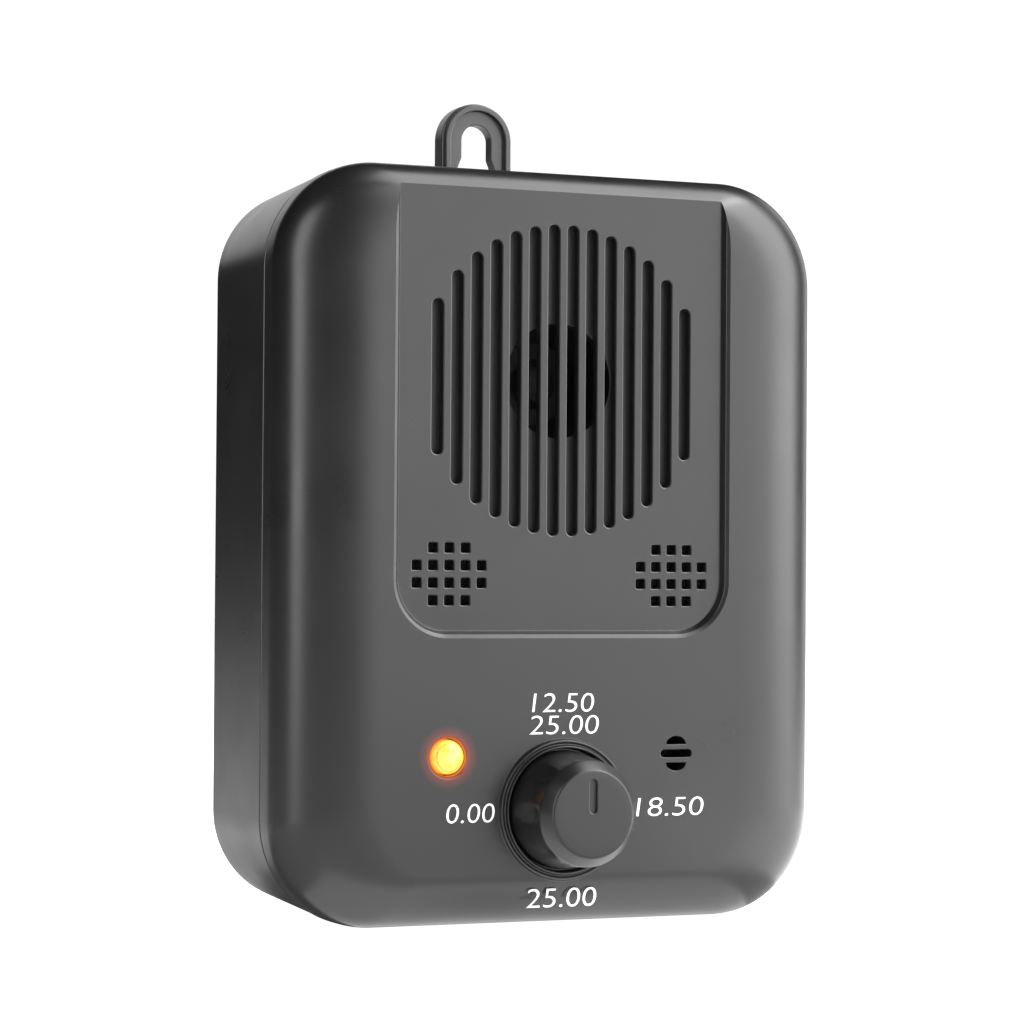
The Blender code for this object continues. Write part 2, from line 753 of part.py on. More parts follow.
def switch_shaft():
    """A round shaft with a flat on its front end."""
    mesh = bmesh.new()
    front = -KNOB_PROUD + KNOB_CHAMFER + GAP
    add_turned(mesh, cylinder_profile(SHAFT_RADIUS, front, 6.5 * MM), 0, KNOB_Z)
    shaft = solid("switch_shaft", mesh, cast_alloy(), place(0, 0, KNOB_Z))
    flat = bmesh.new()
    add_box(flat, (-4 * MM, front - 1 * MM, KNOB_Z + 1.6 * MM), (4 * MM, -3.2 * MM, KNOB_Z + 4 * MM))
    cut(shaft, flat, "flat")


def selector_switch():
    """The fixed half of the switch: bushing, washer, nut and body."""
    bore = SHAFT_RADIUS + GAP
    bushing = [
        (bore, -3.4 * MM),
        (BUSHING_RADIUS - 0.3 * MM, -3.4 * MM),
        (BUSHING_RADIUS, -3.1 * MM),
        (BUSHING_RADIUS, 2.9 * MM),
        (7 * MM, 2.9 * MM),
        (7 * MM, 3.5 * MM),
        (bore, 3.5 * MM),
    ]
    turned("switch_bushing", bushing, 0, KNOB_Z, cast_alloy())
    washer = tube_profile(BUSHING_RADIUS + GAP, 6.5 * MM, 0.1 * MM, WELL_DEPTH - GAP)
    turned("switch_washer", washer, 0, KNOB_Z, steel())
    mesh = bmesh.new()
    add_turned(mesh, tube_profile(BUSHING_RADIUS + GAP, 6.6 * MM, -2.2 * MM, -0.2 * MM), 0, KNOB_Z, 24, hexagon)
    solid("switch_nut", mesh, steel())
    mesh = bmesh.new()
    half = 8 * MM
    back = BOARD_DEPTH - GAP
    add_box(mesh, (-half, 3.8 * MM, KNOB_Z - half), (half, back, KNOB_Z + half))
    body = solid("switch_body", mesh, grey_plastic())
    room = bmesh.new()
    add_turned(room, cylinder_profile(bore, 2.8 * MM, 7 * MM), 0, KNOB_Z)
    cut(body, room, "shaft_room")


def hexagon(radius, depth, angle):
    """Radius of a hexagon's side at this angle, for a nut; its bore stays round."""
    if radius < 6 * MM:
        return radius
    sixth = math.pi / 3
    return radius * math.cos(sixth / 2) / math.cos(angle % sixth - sixth / 2)


def indicator():
    """A 5 mm LED on its spacer."""
    x = -SIGNAL_X
    rim = LED_RADIUS + 0.4 * MM
    profile = [(0, -1.3 * MM)]
    profile += [(0.45 * LED_RADIUS, -1.1 * MM), (0.82 * LED_RADIUS, -0.55 * MM), (LED_RADIUS, 0.4 * MM)]
    profile += [(LED_RADIUS, 3.6 * MM), (rim, 3.6 * MM), (rim, 4.6 * MM), (0, 4.6 * MM)]
    mesh = bmesh.new()
    add_turned(mesh, profile, x, SIGNAL_Z, 20)
    led = solid("indicator_led", mesh, material("amber_lens", (1.0, 0.45, 0.08), 0.2))
    legs = bmesh.new()
    for side in (-1, 1):
        middle = x + side * 1.27 * MM
        low = (middle - 0.3 * MM, 4.2 * MM, SIGNAL_Z - 0.3 * MM)
        add_box(legs, low, (middle + 0.3 * MM, BOARD_DEPTH - GAP, SIGNAL_Z + 0.3 * MM))
    join(led, legs, "legs")
    spacer = tube_profile(2.0 * MM, 3.1 * MM, 4.9 * MM, BOARD_DEPTH - GAP)
    turned("led_spacer", spacer, x, SIGNAL_Z, connector_white(), 16)


def microphone():
    """A capsule held in a rubber boot behind its slots."""
    capsule = cylinder_profile(MICROPHONE_RADIUS, 4.2 * MM, 9.4 * MM)
    turned("microphone_capsule", capsule, SIGNAL_X, SIGNAL_Z, steel())
    inner = MICROPHONE_RADIUS + GAP
    boot = [(3.2 * MM, 2.9 * MM), (inner + 1.3 * MM, 2.9 * MM), (inner + 1.3 * MM, 8.4 * MM), (inner, 8.4 * MM)]
    boot += [(inner, 3.9 * MM), (3.2 * MM, 3.9 * MM)]
    turned("microphone_boot", boot, SIGNAL_X, SIGNAL_Z, black_rubber())


def vent_pads():
    """Thin open foam behind each cluster of square holes."""
    for side, label in ((-1, "left"), (1, "right")):
        x = side * VENT_X
        low = (x - 6.1 * MM, FRONT_WALL + GAP, VENT_Z - 4.9 * MM)
        box(f"vent_pad_{label}", low, (x + 6.1 * MM, FRONT_WALL + 1.3 * MM, VENT_Z + 4.9 * MM), foam())


def tweeter_screw_places():
    places = []
    for angle in TWEETER_ANGLES:
        x = TWEETER_POST_RADIUS * math.cos(angle)
        places.append((x, GRILLE_Z + TWEETER_POST_RADIUS * math.sin(angle)))
    return places


def tweeter():
    """The sounder: frame with its arms, horn, diaphragm, piezo disc, gasket, cover and terminals."""
    face = FRONT_WALL + GAP
    can = CAN_RADIUS - 1.5 * MM
    frame_profile = [
        (THROAT_RADIUS, face),
        (FLANGE_RADIUS, face),
        (FLANGE_RADIUS, face + 2 * MM),
        (CAN_RADIUS, face + 2 * MM),
        (CAN_RADIUS, 15 * MM),
        (can, 15 * MM),
        (can, face + 2 * MM),
        (THROAT_RADIUS, face + 2 * MM),
    ]
    frame = turned("tweeter_frame", frame_profile, 0, GRILLE_Z, grey_plastic(), 32)
    arms = bmesh.new()
    holes = bmesh.new()
    for angle, (x, z) in zip(TWEETER_ANGLES, tweeter_screw_places()):
        add_arm(arms, angle, can + 0.7 * MM, TWEETER_POST_RADIUS, 2.6 * MM, 6.9 * MM, 8.9 * MM)
        add_turned(holes, cylinder_profile(1.3 * MM, 6 * MM, 10 * MM), x, z, HOLE_STEPS)
    join(frame, arms, "arms")
    cut(frame, holes, "arm_holes")
    horn = [(THROAT_RADIUS + 0.4 * MM, 5.2 * MM), (THROAT_RADIUS + 1.6 * MM, 5.2 * MM)]
    horn += [(7.2 * MM, 11.8 * MM), (6.0 * MM, 11.8 * MM)]
    turned("tweeter_horn", horn, 0, GRILLE_Z, black_plastic())
    cone = [(0, 10.6 * MM), (2.6 * MM, 11.4 * MM), (3.6 * MM, 12.6 * MM), (can - GAP, 12.6 * MM)]
    cone += [(can - GAP, 13.1 * MM), (0, 13.1 * MM)]
    turned("tweeter_diaphragm", cone, 0, GRILLE_Z, material("diaphragm_metal", (0.35, 0.35, 0.36), 0.35, 1.0))
    turned("piezo_disc", cylinder_profile(12.5 * MM, 13.4 * MM, 14.0 * MM), 0, GRILLE_Z, brass())
    gasket = tube_profile(16 * MM, can - GAP, 13.4 * MM, 15 * MM)
    turned("tweeter_gasket", gasket, 0, GRILLE_Z, black_rubber())
    cover = [(0, 19.4 * MM), (18.5 * MM, 19.4 * MM), (19.2 * MM, 15.3 * MM), (CAN_RADIUS, 15.3 * MM)]
    cover += [(CAN_RADIUS - 0.8 * MM, 21 * MM), (0, 21 * MM)]
    turned("tweeter_cover", cover, 0, GRILLE_Z, black_plastic(), 32)
    for side, label in ((-1, "left"), (1, "right")):
        x = side * 4 * MM
        low = (x - 1.2 * MM, 21.3 * MM, 66 * MM)
        box(f"tweeter_terminal_{label}", low, (x + 1.2 * MM, 22 * MM, 71 * MM), brass())


def add_arm(mesh, angle, start, stop, half_width, front, back):
    """A flat arm that reaches out from the grille's centre at this angle and ends round."""
    along = (math.cos(angle), math.sin(angle))
    outline = []
    end = arc(stop, 0, half_width, half_width, -90, 90, 6)
    for x, z in [(start, -half_width), *end, (start, half_width)]:
        outline.append((x * along[0] - z * along[1], GRILLE_Z + x * along[1] + z * along[0]))
    add_prism(mesh, outline, front, back)


def pan_screw(name, head_radius, head_height, shank_radius, length):
    """A pan head and a plain shank along Y, with the head's underside at the object's origin."""
    profile = [
        (0, -length),
        (shank_radius, -length + shank_radius),
        (shank_radius, 0),
        (head_radius, 0),
        (head_radius, 0.45 * head_height),
        (0.72 * head_radius, head_height),
        (0, head_height),
    ]
    mesh = bmesh.new()
    add_turned(mesh, profile, 0, 0, SCREW_STEPS)
    bmesh.ops.translate(mesh, verts=mesh.verts, vec=-place(0, 0, 0))
    return solid(name, mesh, steel())


def cut_cross(screw, reach, depth, top):
    """Sinks a cross recess into a placed screw's head."""
    mesh = bmesh.new()
    thick = 0.22 * reach
    outline = [(thick, thick), (thick, reach), (-thick, reach), (-thick, thick), (-reach, thick), (-reach, -thick)]
    outline += [(-thick, -thick), (-thick, -reach), (thick, -reach), (thick, -thick), (reach, -thick), (reach, thick)]
    add_prism(mesh, outline, top - depth, top + 1 * MM)
    bmesh.ops.translate(mesh, verts=mesh.verts, vec=screw.location - place(0, 0, 0))
    cut(screw, mesh, "cross")


def screws(label, places, seat, head_radius, head_height, shank_radius, length):
    """One screw per place, head towards the back, its underside at the seat's depth."""
    for index, (x, z) in enumerate(places, 1):
        screw = pan_screw(f"{label}_{index}", head_radius, head_height, shank_radius, length)
        screw.location = place(x, seat, z)
        cut_cross(screw, 0.6 * head_radius, 0.55 * head_height, head_height)


def circuit_board():
    """The board on its posts, with its holes, and the parts that stand on its front."""
    mesh = bmesh.new()
    low = (-BOARD_HALF_WIDTH, BOARD_DEPTH, BOARD_BOTTOM)
    add_box(mesh, low, (BOARD_HALF_WIDTH, BOARD_DEPTH + BOARD_THICK, BOARD_TOP))
    board = solid("main_circuit_board", mesh, board_green())
    holes = bmesh.new()
    for x, z in BOARD_POSTS:
        add_turned(holes, cylinder_profile(1.4 * MM, BOARD_DEPTH - 1 * MM, BOARD_DEPTH + 3 * MM), x, z, HOLE_STEPS)
    cut(board, holes, "screw_holes")
    back = BOARD_DEPTH - GAP
    box("controller_chip", (-5 * MM, back - 1.6 * MM, 36 * MM), (5 * MM, back, 43 * MM), chip_black(), 0.25 * MM)
    box("voltage_regulator", (9 * MM, back - 1.8 * MM, 33 * MM), (13.5 * MM, back, 37 * MM), chip_black(), 0.25 * MM)
    coil = [(0, back - 6 * MM), (4 * MM, back - 6 * MM), (4 * MM, back - 5 * MM), (3.2 * MM, back - 4.6 * MM)]
    coil += [(3.2 * MM, back - 1.4 * MM), (4 * MM, back - 1 * MM), (4 * MM, back), (0, back)]
    turned("boost_coil", coil, -15 * MM, 41 * MM, material("ferrite", (0.07, 0.07, 0.075), 0.6), 20)
    for index, (x, z, radius, height) in enumerate(((18, 41, 3.15, 7.2), (26, 36, 2.5, 6.4)), 1):
        can = cylinder_profile(radius * MM, back - height * MM, back)
        sleeve = material("capacitor_sleeve", (0.03, 0.05, 0.14), 0.35)
        turned(f"smoothing_capacitor_{index}", can, x * MM, z * MM, sleeve, 20)
    socket("battery_socket", (-29 * MM, -24 * MM), (30 * MM, 37 * MM), (-1, 0))
    socket("tweeter_socket", (-4 * MM, 4 * MM), (44.5 * MM, 50 * MM), (0, 1))


def socket(name, across, tall, mouth):
    """A two-way board socket, hollowed from the side its leads come in by."""
    front = BOARD_DEPTH - GAP - 5.6 * MM
    back = BOARD_DEPTH - GAP
    made = box(name, (across[0], front, tall[0]), (across[1], back, tall[1]), connector_white())
    reach = 3.2 * MM
    wall = 0.8 * MM
    low = [across[0] + wall, front + wall, tall[0] + wall]
    high = [across[1] - wall, back - wall, tall[1] - wall]
    if mouth[0] < 0:
        low[0] = across[0] - 1 * MM
        high[0] = across[0] + reach
    else:
        low[2] = tall[1] - reach
        high[2] = tall[1] + 1 * MM
    room = bmesh.new()
    add_box(room, low, high)
    cut(made, room, "mouth")


def battery():
    """A 9 V block with its two studs, the snap cap on them, and the pad in front of it."""
    back = BATTERY_FRONT + BATTERY_DEPTH
    half = BATTERY_HEIGHT / 2
    mesh = bmesh.new()
    face = BATTERY_FACE_X
    add_box(mesh, (face, BATTERY_FRONT, BATTERY_Z - half), (face + BATTERY_LENGTH, back, BATTERY_Z + half))
    cell = solid("battery_9v", mesh, material("battery_jacket", (0.16, 0.16, 0.17), 0.35, 0.6))
    bevel(cell, 1.6 * MM, 2)
    middle = BATTERY_FRONT + BATTERY_DEPTH / 2
    studs = ((6.35 * MM, 2.9 * MM), (-6.35 * MM, 4.0 * MM))
    stud_mesh = bmesh.new()
    for offset, radius in studs:
        add_rod(stud_mesh, radius, middle, BATTERY_Z + offset, face - 2.1 * MM, face + 1 * MM)
    join(cell, stud_mesh, "studs")
    low = (face - 6 * MM, middle - 6 * MM, BATTERY_Z - 12.3 * MM)
    cap = box("battery_snap", low, (face - GAP, middle + 6 * MM, BATTERY_Z + 12.3 * MM), black_plastic())
    bores = bmesh.new()
    for offset, radius in studs:
        add_rod(bores, radius + GAP, middle, BATTERY_Z + offset, face - 2.4 * MM, face + 1 * MM)
    cut(cap, bores, "stud_bores")
    low = (-18 * MM, BAY_FLOOR + GAP, BATTERY_Z - 11 * MM)
    box("battery_pad", low, (24 * MM, BATTERY_FRONT - GAP, BATTERY_Z + 11 * MM), foam())


def add_rod(mesh, radius, depth, z, start, stop, steps=16):
    """A round rod that runs from side to side."""
    rings = []
    for x in (start, stop):
        circle = arc(depth, z, radius, radius, 0, 360, steps)[:-1]
        rings.append([place(x, across, up) for across, up in circle])
    add_loft(mesh, rings)


def smooth_route(points, per_span=3):
    """Points along a smooth curve through the route's own points (Catmull-Rom)."""
    padded = [points[0]] + list(points) + [points[-1]]
    route = []
    for a, b, c, d in zip(padded, padded[1:], padded[2:], padded[3:]):
        for step in range(per_span):
            t = step / per_span
            curve = b * 2 + (c - a) * t + (a * 2 - b * 5 + c * 4 - d) * t**2 + (b * 3 - a - c * 3 + d) * t**3
            route.append(curve / 2)
    route.append(points[-1])
    return route


def lead(name, colour, route, radius=0.65 * MM):
    data = bpy.data.curves.new(name, "CURVE")
    data.dimensions = "3D"
    data.bevel_depth = radius
    data.bevel_resolution = 2
    data.use_fill_caps = True
    points = smooth_route([place(x * MM, depth * MM, z * MM) for x, depth, z in route])
    spline = data.splines.new("POLY")
    spline.points.add(len(points) - 1)
    for point, position in zip(spline.points, points):
        point.co = (*position, 1.0)
    data.materials.append(insulation(colour))
    bpy.context.scene.collection.objects.link(bpy.data.objects.new(name, data))


def leads():
    """Battery leads run round the board's edge; tweeter leads drop over its top."""
    for colour, z, drop in (("red", 32.2, 0), ("black", 27.2, 2.6)):
        end = 35.2 - drop
        route = [(-26.8, 26.4, z), (-30.5, 26.4, z), (-33.6, 23.0, z + 1), (-34.0, 16.0, end - 1)]
        route += [(-33.4, 10.4, end), (-31.5, 9.0, end), (-27.0, 9.0, end)]
        lead(f"battery_lead_{colour}", colour, route)
    for colour, side in (("red", -1), ("black", 1)):
        route = [(side * 4, 22.9, 69), (side * 4, 23.2, 64), (side * 3.6, 21.5, 57.8), (side * 2.6, 16.5, 54.6)]
        route += [(side * 1.8, 11.4, 54.4), (side * 1.6, 9.1, 52.4), (side * 1.6, 8.9, 48.0)]
        lead(f"tweeter_lead_{colour}", colour, route)


def fasteners():
    screws("case_screw", CASE_POSTS, CASE_LEDGE_DEPTH + GAP, 2.7 * MM, 2.0 * MM, 1.2 * MM, 16 * MM)
    screws("board_screw", BOARD_POSTS, BOARD_DEPTH + BOARD_THICK + GAP, 2.2 * MM, 1.5 * MM, 1.0 * MM, 8 * MM)
    screws("tweeter_screw", tweeter_screw_places(), 9.2 * MM, 2.2 * MM, 1.5 * MM, 1.0 * MM, 5 * MM)


def build():
    clear_scene()
    front_shell()
    rear_shell()
    hanging_tab()
    case_seal()
    battery_door()
    selector_knob()
    switch_shaft()
    selector_switch()
    indicator()
    microphone()
    vent_pads()
    tweeter()
    circuit_board()
    battery()
    leads()
    fasteners()


build()
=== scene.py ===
import itertools
import json
import math

import bmesh
import bpy
from mathutils import Matrix, Vector

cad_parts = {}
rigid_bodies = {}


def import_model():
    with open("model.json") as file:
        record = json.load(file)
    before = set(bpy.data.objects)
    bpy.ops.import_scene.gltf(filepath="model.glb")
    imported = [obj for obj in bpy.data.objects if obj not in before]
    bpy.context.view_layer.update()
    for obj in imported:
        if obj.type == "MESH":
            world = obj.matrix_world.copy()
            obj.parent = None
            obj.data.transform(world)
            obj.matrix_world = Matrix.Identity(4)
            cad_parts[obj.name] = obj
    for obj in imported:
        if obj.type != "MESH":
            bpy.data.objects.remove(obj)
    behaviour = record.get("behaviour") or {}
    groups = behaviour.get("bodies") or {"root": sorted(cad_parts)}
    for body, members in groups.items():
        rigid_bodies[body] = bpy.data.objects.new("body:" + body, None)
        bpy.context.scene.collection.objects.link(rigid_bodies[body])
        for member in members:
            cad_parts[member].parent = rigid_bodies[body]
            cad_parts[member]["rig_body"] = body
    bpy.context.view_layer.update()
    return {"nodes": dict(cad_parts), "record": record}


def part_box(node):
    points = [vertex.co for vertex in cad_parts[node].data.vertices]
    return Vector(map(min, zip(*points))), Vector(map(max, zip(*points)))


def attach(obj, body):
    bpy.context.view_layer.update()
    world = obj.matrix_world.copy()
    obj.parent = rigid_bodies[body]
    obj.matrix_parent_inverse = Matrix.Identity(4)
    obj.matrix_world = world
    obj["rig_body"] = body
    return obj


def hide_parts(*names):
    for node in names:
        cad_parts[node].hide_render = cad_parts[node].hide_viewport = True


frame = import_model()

# Looks of the ultrasonic pest repeller. Lengths are millimetres, and place() gives metres, except
# where a value says * MM. Places are (x, depth, z), with depth measured back from the front shell's
# flat face, as in the CAD model.
MM = 0.001
GAP = 0.3

# Body
CORNER_RADIUS = 15.6
SEAM_DEPTH = 10.0
TONGUE_FRONT = SEAM_DEPTH - 1.7
ROUND_OVER_X = 14.6
ROUND_OVER_Z = 7.7
ROUND_OVER_DEPTH = 7.0
CORNER_FLOW = 0.6
FRONT_WALL = 2.6
SIDE_WALL = 2.4
LAP_INSET = 1.1
LAP_DEPTH = 6.6
REAR_WALL = 2.2
REAR_STEP = 0.15
REAR_TAPER = 1.35
REAR_FILLET = 3.0

# Panel, grille and vents
PANEL_DEPTH = 1.2
PANEL_HALF_WIDTH = 26.05
PANEL_BOTTOM = 43.1
PANEL_CORNER = 7.5
GRILLE_RADIUS = 23.0
SLOT_COUNT = 14
SLOT_PITCH = 3.077
SLOT_WIDTH = 1.8
VENT_PITCH = 2.55
VENT_HOLE = 1.5
VENT_ROWS = (3, 5, 5, 3)
LIP = 0.16

# Knob, well, switch and indicator
KNOB_PROUD = 10.3
KNOB_CHAMFER = 1.75
KNOB_FLUTES = 8
WELL_RADIUS = 9.05
WELL_DEPTH = 0.8
BUSHING_RADIUS = 4.5
SHAFT_RADIUS = 3.0
LED_RADIUS = 2.5

# Posts, tweeter, bay, door and tab
CASE_POST_DEPTH = 26.0
CASE_LEDGE_DEPTH = 30.4
BOARD_DEPTH = 12.0
THROAT_RADIUS = 8.4
TWEETER_POST_RADIUS = 28.0
TWEETER_ANGLES = [math.radians(degrees) for degrees in (45, 135, 225, 315)]
BAY_HALF_LENGTH = 28.0
BAY_BOTTOM = 13.0
BAY_TOP = 45.0
BAY_FLOOR = 15.7
BAY_WALL = 1.5
DOOR_THICK = 1.5
DOOR_LEDGE = 1.0
HOOK_THICK = 0.8
TAB_RIM = 1.1
TAB_RECESS = 0.9
KEY_NECK = 2.5
KEY_FLARE_TOP = 116.6
KEY_FLARE_ANGLE = math.radians(21.8)
KEY_BULB = 4.3
POCKET_STEP_Z = 104.5
POCKET_SHELF = 29.6
BLOCK_BACK = 36
THREAD_PITCH = 0.6

# Fineness of the meshes
CORNER_STEPS = 20
ROUND_OVER_STEPS = 20
TURN_STEPS = 96
SHARP_ANGLE = math.radians(24)
NUDGES = [size * MM for size in (0, 0.0013, -0.0017, 0.0031, -0.0043, 0.0071)]


def box(node):
    """The low and high corner of a CAD node, in millimetres."""
    return [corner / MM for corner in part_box(node)]


def middle(node):
    low, high = box(node)
    return (low + high) / 2


def screw_places(label):
    """The (x, z) of each of four alike nodes."""
    return [(middle(f"{label}_{n}").x, middle(f"{label}_{n}").z) for n in range(1, 5)]


FRONT_Y = box("selector_knob")[0].y + KNOB_PROUD
HALF_WIDTH = box("front_shell")[1].x
BODY_HEIGHT = box("front_shell")[1].z
BODY_DEPTH = box("rear_shell")[1].y - FRONT_Y
KNOB_Z = middle("selector_knob").z
GRILLE_Z = middle("tweeter_horn").z
LED_X = middle("indicator_led").x
SIGNAL_Z = middle("indicator_led").z
MICROPHONE_X = middle("microphone_capsule").x
VENT_X = middle("vent_pad_right").x
VENT_Z = middle("vent_pad_right").z
DOOR_HIGH = box("battery_door")[1]
DOOR_BOTTOM = DOOR_HIGH.z - 31.1
REBATE_DEPTH = BODY_DEPTH - DOOR_THICK - GAP
TAB_LOW, TAB_HIGH = box("hanging_tab")
TAB_DEPTH = TAB_LOW.y - FRONT_Y
TAB_HALF_WIDTH = 5.85
CASE_POSTS = screw_places("case_screw")
BOARD_POSTS = screw_places("board_screw")
TWEETER_POSTS = screw_places("tweeter_screw")
SLOTS = {part["node"]: part["material_slot"] for part in frame["record"]["subparts"]}


# ---------------------------------------------------------------- mesh tools


def place(x, depth, z):
    """A point of the object, in metres, from its place in millimetres."""
    return Vector((x, FRONT_Y + depth, z)) * MM


def sideways(depth, x, z):
    """For shapes swept from side to side, whose outline is in depth and height."""
    return place(x, depth, z)


def upright(x, z, depth):
    """For shapes swept upwards, whose outline is in x and depth."""
    return place(x, depth, z)


def arc(x, z, radius_x, radius_z, start, stop, steps):
    points = []
    for step in range(steps + 1):
        angle = math.radians(start + (stop - start) * step / steps)
        points.append((x + radius_x * math.cos(angle), z + radius_z * math.sin(angle)))
    return points


def soften(points, radius, closed=False, steps=4):
    """Rounds the corners of a polyline; an open one keeps its two ends."""
    count = len(points)
    soft = [] if closed else [tuple(points[0])]
    for index in range(0 if closed else 1, count if closed else count - 1):
        corner = Vector(points[index])
        back = Vector(points[index - 1]) - corner
        ahead = Vector(points[(index + 1) % count]) - corner
        start = corner + back.normalized() * min(radius, 0.45 * back.length)
        end = corner + ahead.normalized() * min(radius, 0.45 * ahead.length)
        for step in range(steps + 1):
            t = step / steps
            soft.append(tuple(start * (1 - t) ** 2 + corner * (2 * t * (1 - t)) + end * t**2))
    if not closed:
        soft.append(tuple(points[-1]))
    return soft


def add_loft(mesh, rings, closed=False):
    loops = [[mesh.verts.new(point) for point in ring] for ring in rings]
    pairs = list(zip(loops, loops[1:]))
    if closed:
        pairs.append((loops[-1], loops[0]))
    for first, second in pairs:
        count = len(first)
        for index in range(count):
            after = (index + 1) % count
            mesh.faces.new((first[index], first[after], second[after], second[index]))
    if not closed:
        mesh.faces.new(loops[0])
        mesh.faces.new(loops[-1])


def add_sweep(mesh, outline, profile, put=place):
    """Stacks an outline that grows and shrinks: profile is a list of (growth, depth)."""
    add_loft(mesh, [[put(a, depth, b) for a, b in outline(growth)] for growth, depth in profile])


def add_prism(mesh, outline, front, back):
    add_loft(mesh, [[place(x, depth, z) for x, z in outline] for depth in (front, back)])


def add_bar(mesh, section, start, stop):
    """A straight bar from side to side, whose section is in depth and height."""
    add_loft(mesh, [[place(x, depth, z) for depth, z in section] for x in (start, stop)])


def add_box(mesh, low, high):
    outline = ((low[0], low[2]), (high[0], low[2]), (high[0], high[2]), (low[0], high[2]))
    add_prism(mesh, outline, low[1], high[1])


def add_turned(mesh, profile, x, z, steps=TURN_STEPS, shape=None):
    """Turns (radius, depth) round the front-to-back line through (x, z)."""
    loops = []
    for radius, depth in profile:
        if radius <= 0:
            loops.append([mesh.verts.new(place(x, depth, z))])
            continue
        ring = []
        for step in range(steps):
            angle = 2 * math.pi * step / steps
            reach = shape(radius, depth, angle) if shape else radius
            point = place(x + reach * math.cos(angle), depth, z + reach * math.sin(angle))
            ring.append(mesh.verts.new(point))
        loops.append(ring)
    pairs = list(zip(loops, loops[1:]))
    if profile[0][0] > 0:
        pairs.append((loops[-1], loops[0]))
    for first, second in pairs:
        for step in range(steps):
            after = (step + 1) % steps
            if len(first) == 1:
                mesh.faces.new((first[0], second[after], second[step]))
            elif len(second) == 1:
                mesh.faces.new((first[step], first[after], second[0]))
            else:
                mesh.faces.new((first[step], first[after], second[after], second[step]))


def fresh(add, *details, **options):
    """A new mesh that holds what one add_ function makes."""
    mesh = bmesh.new()
    add(mesh, *details, **options)
    return mesh


def rod_profile(radius, front, back, edge=0.0):
    corners = [(0, front), (radius, front), (radius, back), (0, back)]
    return soften(corners, edge) if edge else corners


def add_rods(mesh, posts, radius, front, back, steps):
    for x, z in posts:
        add_turned(mesh, rod_profile(radius, front, back), x, z, steps)


def tube_profile(inner, outer, front, back, edge=0.0):
    corners = [(inner, front), (outer, front), (outer, back), (inner, back)]
    return soften(corners, edge, closed=True) if edge else corners


def rounded_box(x, z, half_x, half_z, radius, steps=6):
    """An outline: a rectangle with round corners, as a function of its growth."""

    def outline(growth):
        wide, tall, corner = half_x + growth, half_z + growth, max(radius + growth, 0.02)
        points = []
        for side_x, side_z, start in ((1, 1, 0), (-1, 1, 90), (-1, -1, 180), (1, -1, 270)):
            centre_x, centre_z = x + side_x * (wide - corner), z + side_z * (tall - corner)
            points += arc(centre_x, centre_z, corner, corner, start, start + 90, steps)
        return points

    return outline


def boxed(low_x, high_x, low_z, high_z, radius, steps=6):
    """The same kind of outline, from its sides."""
    half_x, half_z = (high_x - low_x) / 2, (high_z - low_z) / 2
    return rounded_box(low_x + half_x, low_z + half_z, half_x, half_z, radius, steps)


def slab_profile(front, back, edge, reach):
    """(growth, depth) of a slab whose edges are rounded on both faces."""
    return soften([(-reach, front), (0, front), (0, back), (-reach, back)], edge)


def pit(top, bottom, lip=LIP, root=0.0):
    """(growth, depth) of a cutter whose mouth at depth top has a shallow bevel, lip wide."""
    fall = 0.5
    above = 0.06
    profile = [(lip + above / fall, top - above), (0, top + fall * lip)]
    if root:
        return profile + soften([(0, bottom - 2 * root), (0, bottom), (-3 * root, bottom)], root)
    return profile + [(0, bottom)]


def mirrored(profile, middle_depth):
    """The same profile, seen from the other side of a depth."""
    return [(growth, 2 * middle_depth - depth) for growth, depth in profile]


def shaded(data):
    data.shade_smooth()
    data.set_sharp_from_angle(angle=SHARP_ANGLE)


def shown(name, data):
    """A new object in the scene."""
    made = bpy.data.objects.new(name, data)
    bpy.context.scene.collection.objects.link(made)
    return made


def solid(name, mesh, finish):
    bmesh.ops.recalc_face_normals(mesh, faces=mesh.faces)
    data = bpy.data.meshes.new(name)
    mesh.to_mesh(data)
    mesh.free()
    data.materials.append(finish)
    shaded(data)
    return shown(name, data)


def volume_of(data):
    """The volume of a closed mesh, or None for one with open edges."""
    mesh = bmesh.new()
    mesh.from_mesh(data)
    closed = all(edge.is_manifold for edge in mesh.edges)
    volume = mesh.calc_volume(signed=True)
    mesh.free()
    return volume if closed else None


def combine(target, mesh, operation):
    """Joins a mesh to the target or cuts it away, for good.

    The solver can fail where faces graze each other, so each result is measured, and a failed one
    is tried again with the helper moved by about a micron."""
    helper = solid("helper", mesh, target.data.materials[0])
    before, tool = volume_of(target.data), volume_of(helper.data)
    low, high = (before, before + tool) if operation == "UNION" else (before - tool, before)
    modifier = target.modifiers.new("combine", "BOOLEAN")
    modifier.operation = operation
    modifier.solver = "EXACT"
    modifier.object = helper
    for nudge, careful in itertools.product(NUDGES, (True, False)):
        helper.location = (nudge, 0.7 * nudge, -0.6 * nudge)
        modifier.use_self = careful
        bpy.context.view_layer.update()
        graph = bpy.context.evaluated_depsgraph_get()
        result = bpy.data.meshes.new_from_object(target.evaluated_get(graph))
        volume = volume_of(result)
        if volume is not None and low - MM**3 < volume < high + MM**3:
            break
        bpy.data.meshes.remove(result)
    else:
        raise RuntimeError(f"{target.name} could not be combined cleanly")
    target.modifiers.clear()
    spent = [target.data, helper.data]
    target.data = result
    bpy.data.objects.remove(helper)
    for data in spent:
        bpy.data.meshes.remove(data)
    shaded(result)


def join(target, mesh):
    combine(target, mesh, "UNION")


def cut(target, mesh):
    combine(target, mesh, "DIFFERENCE")


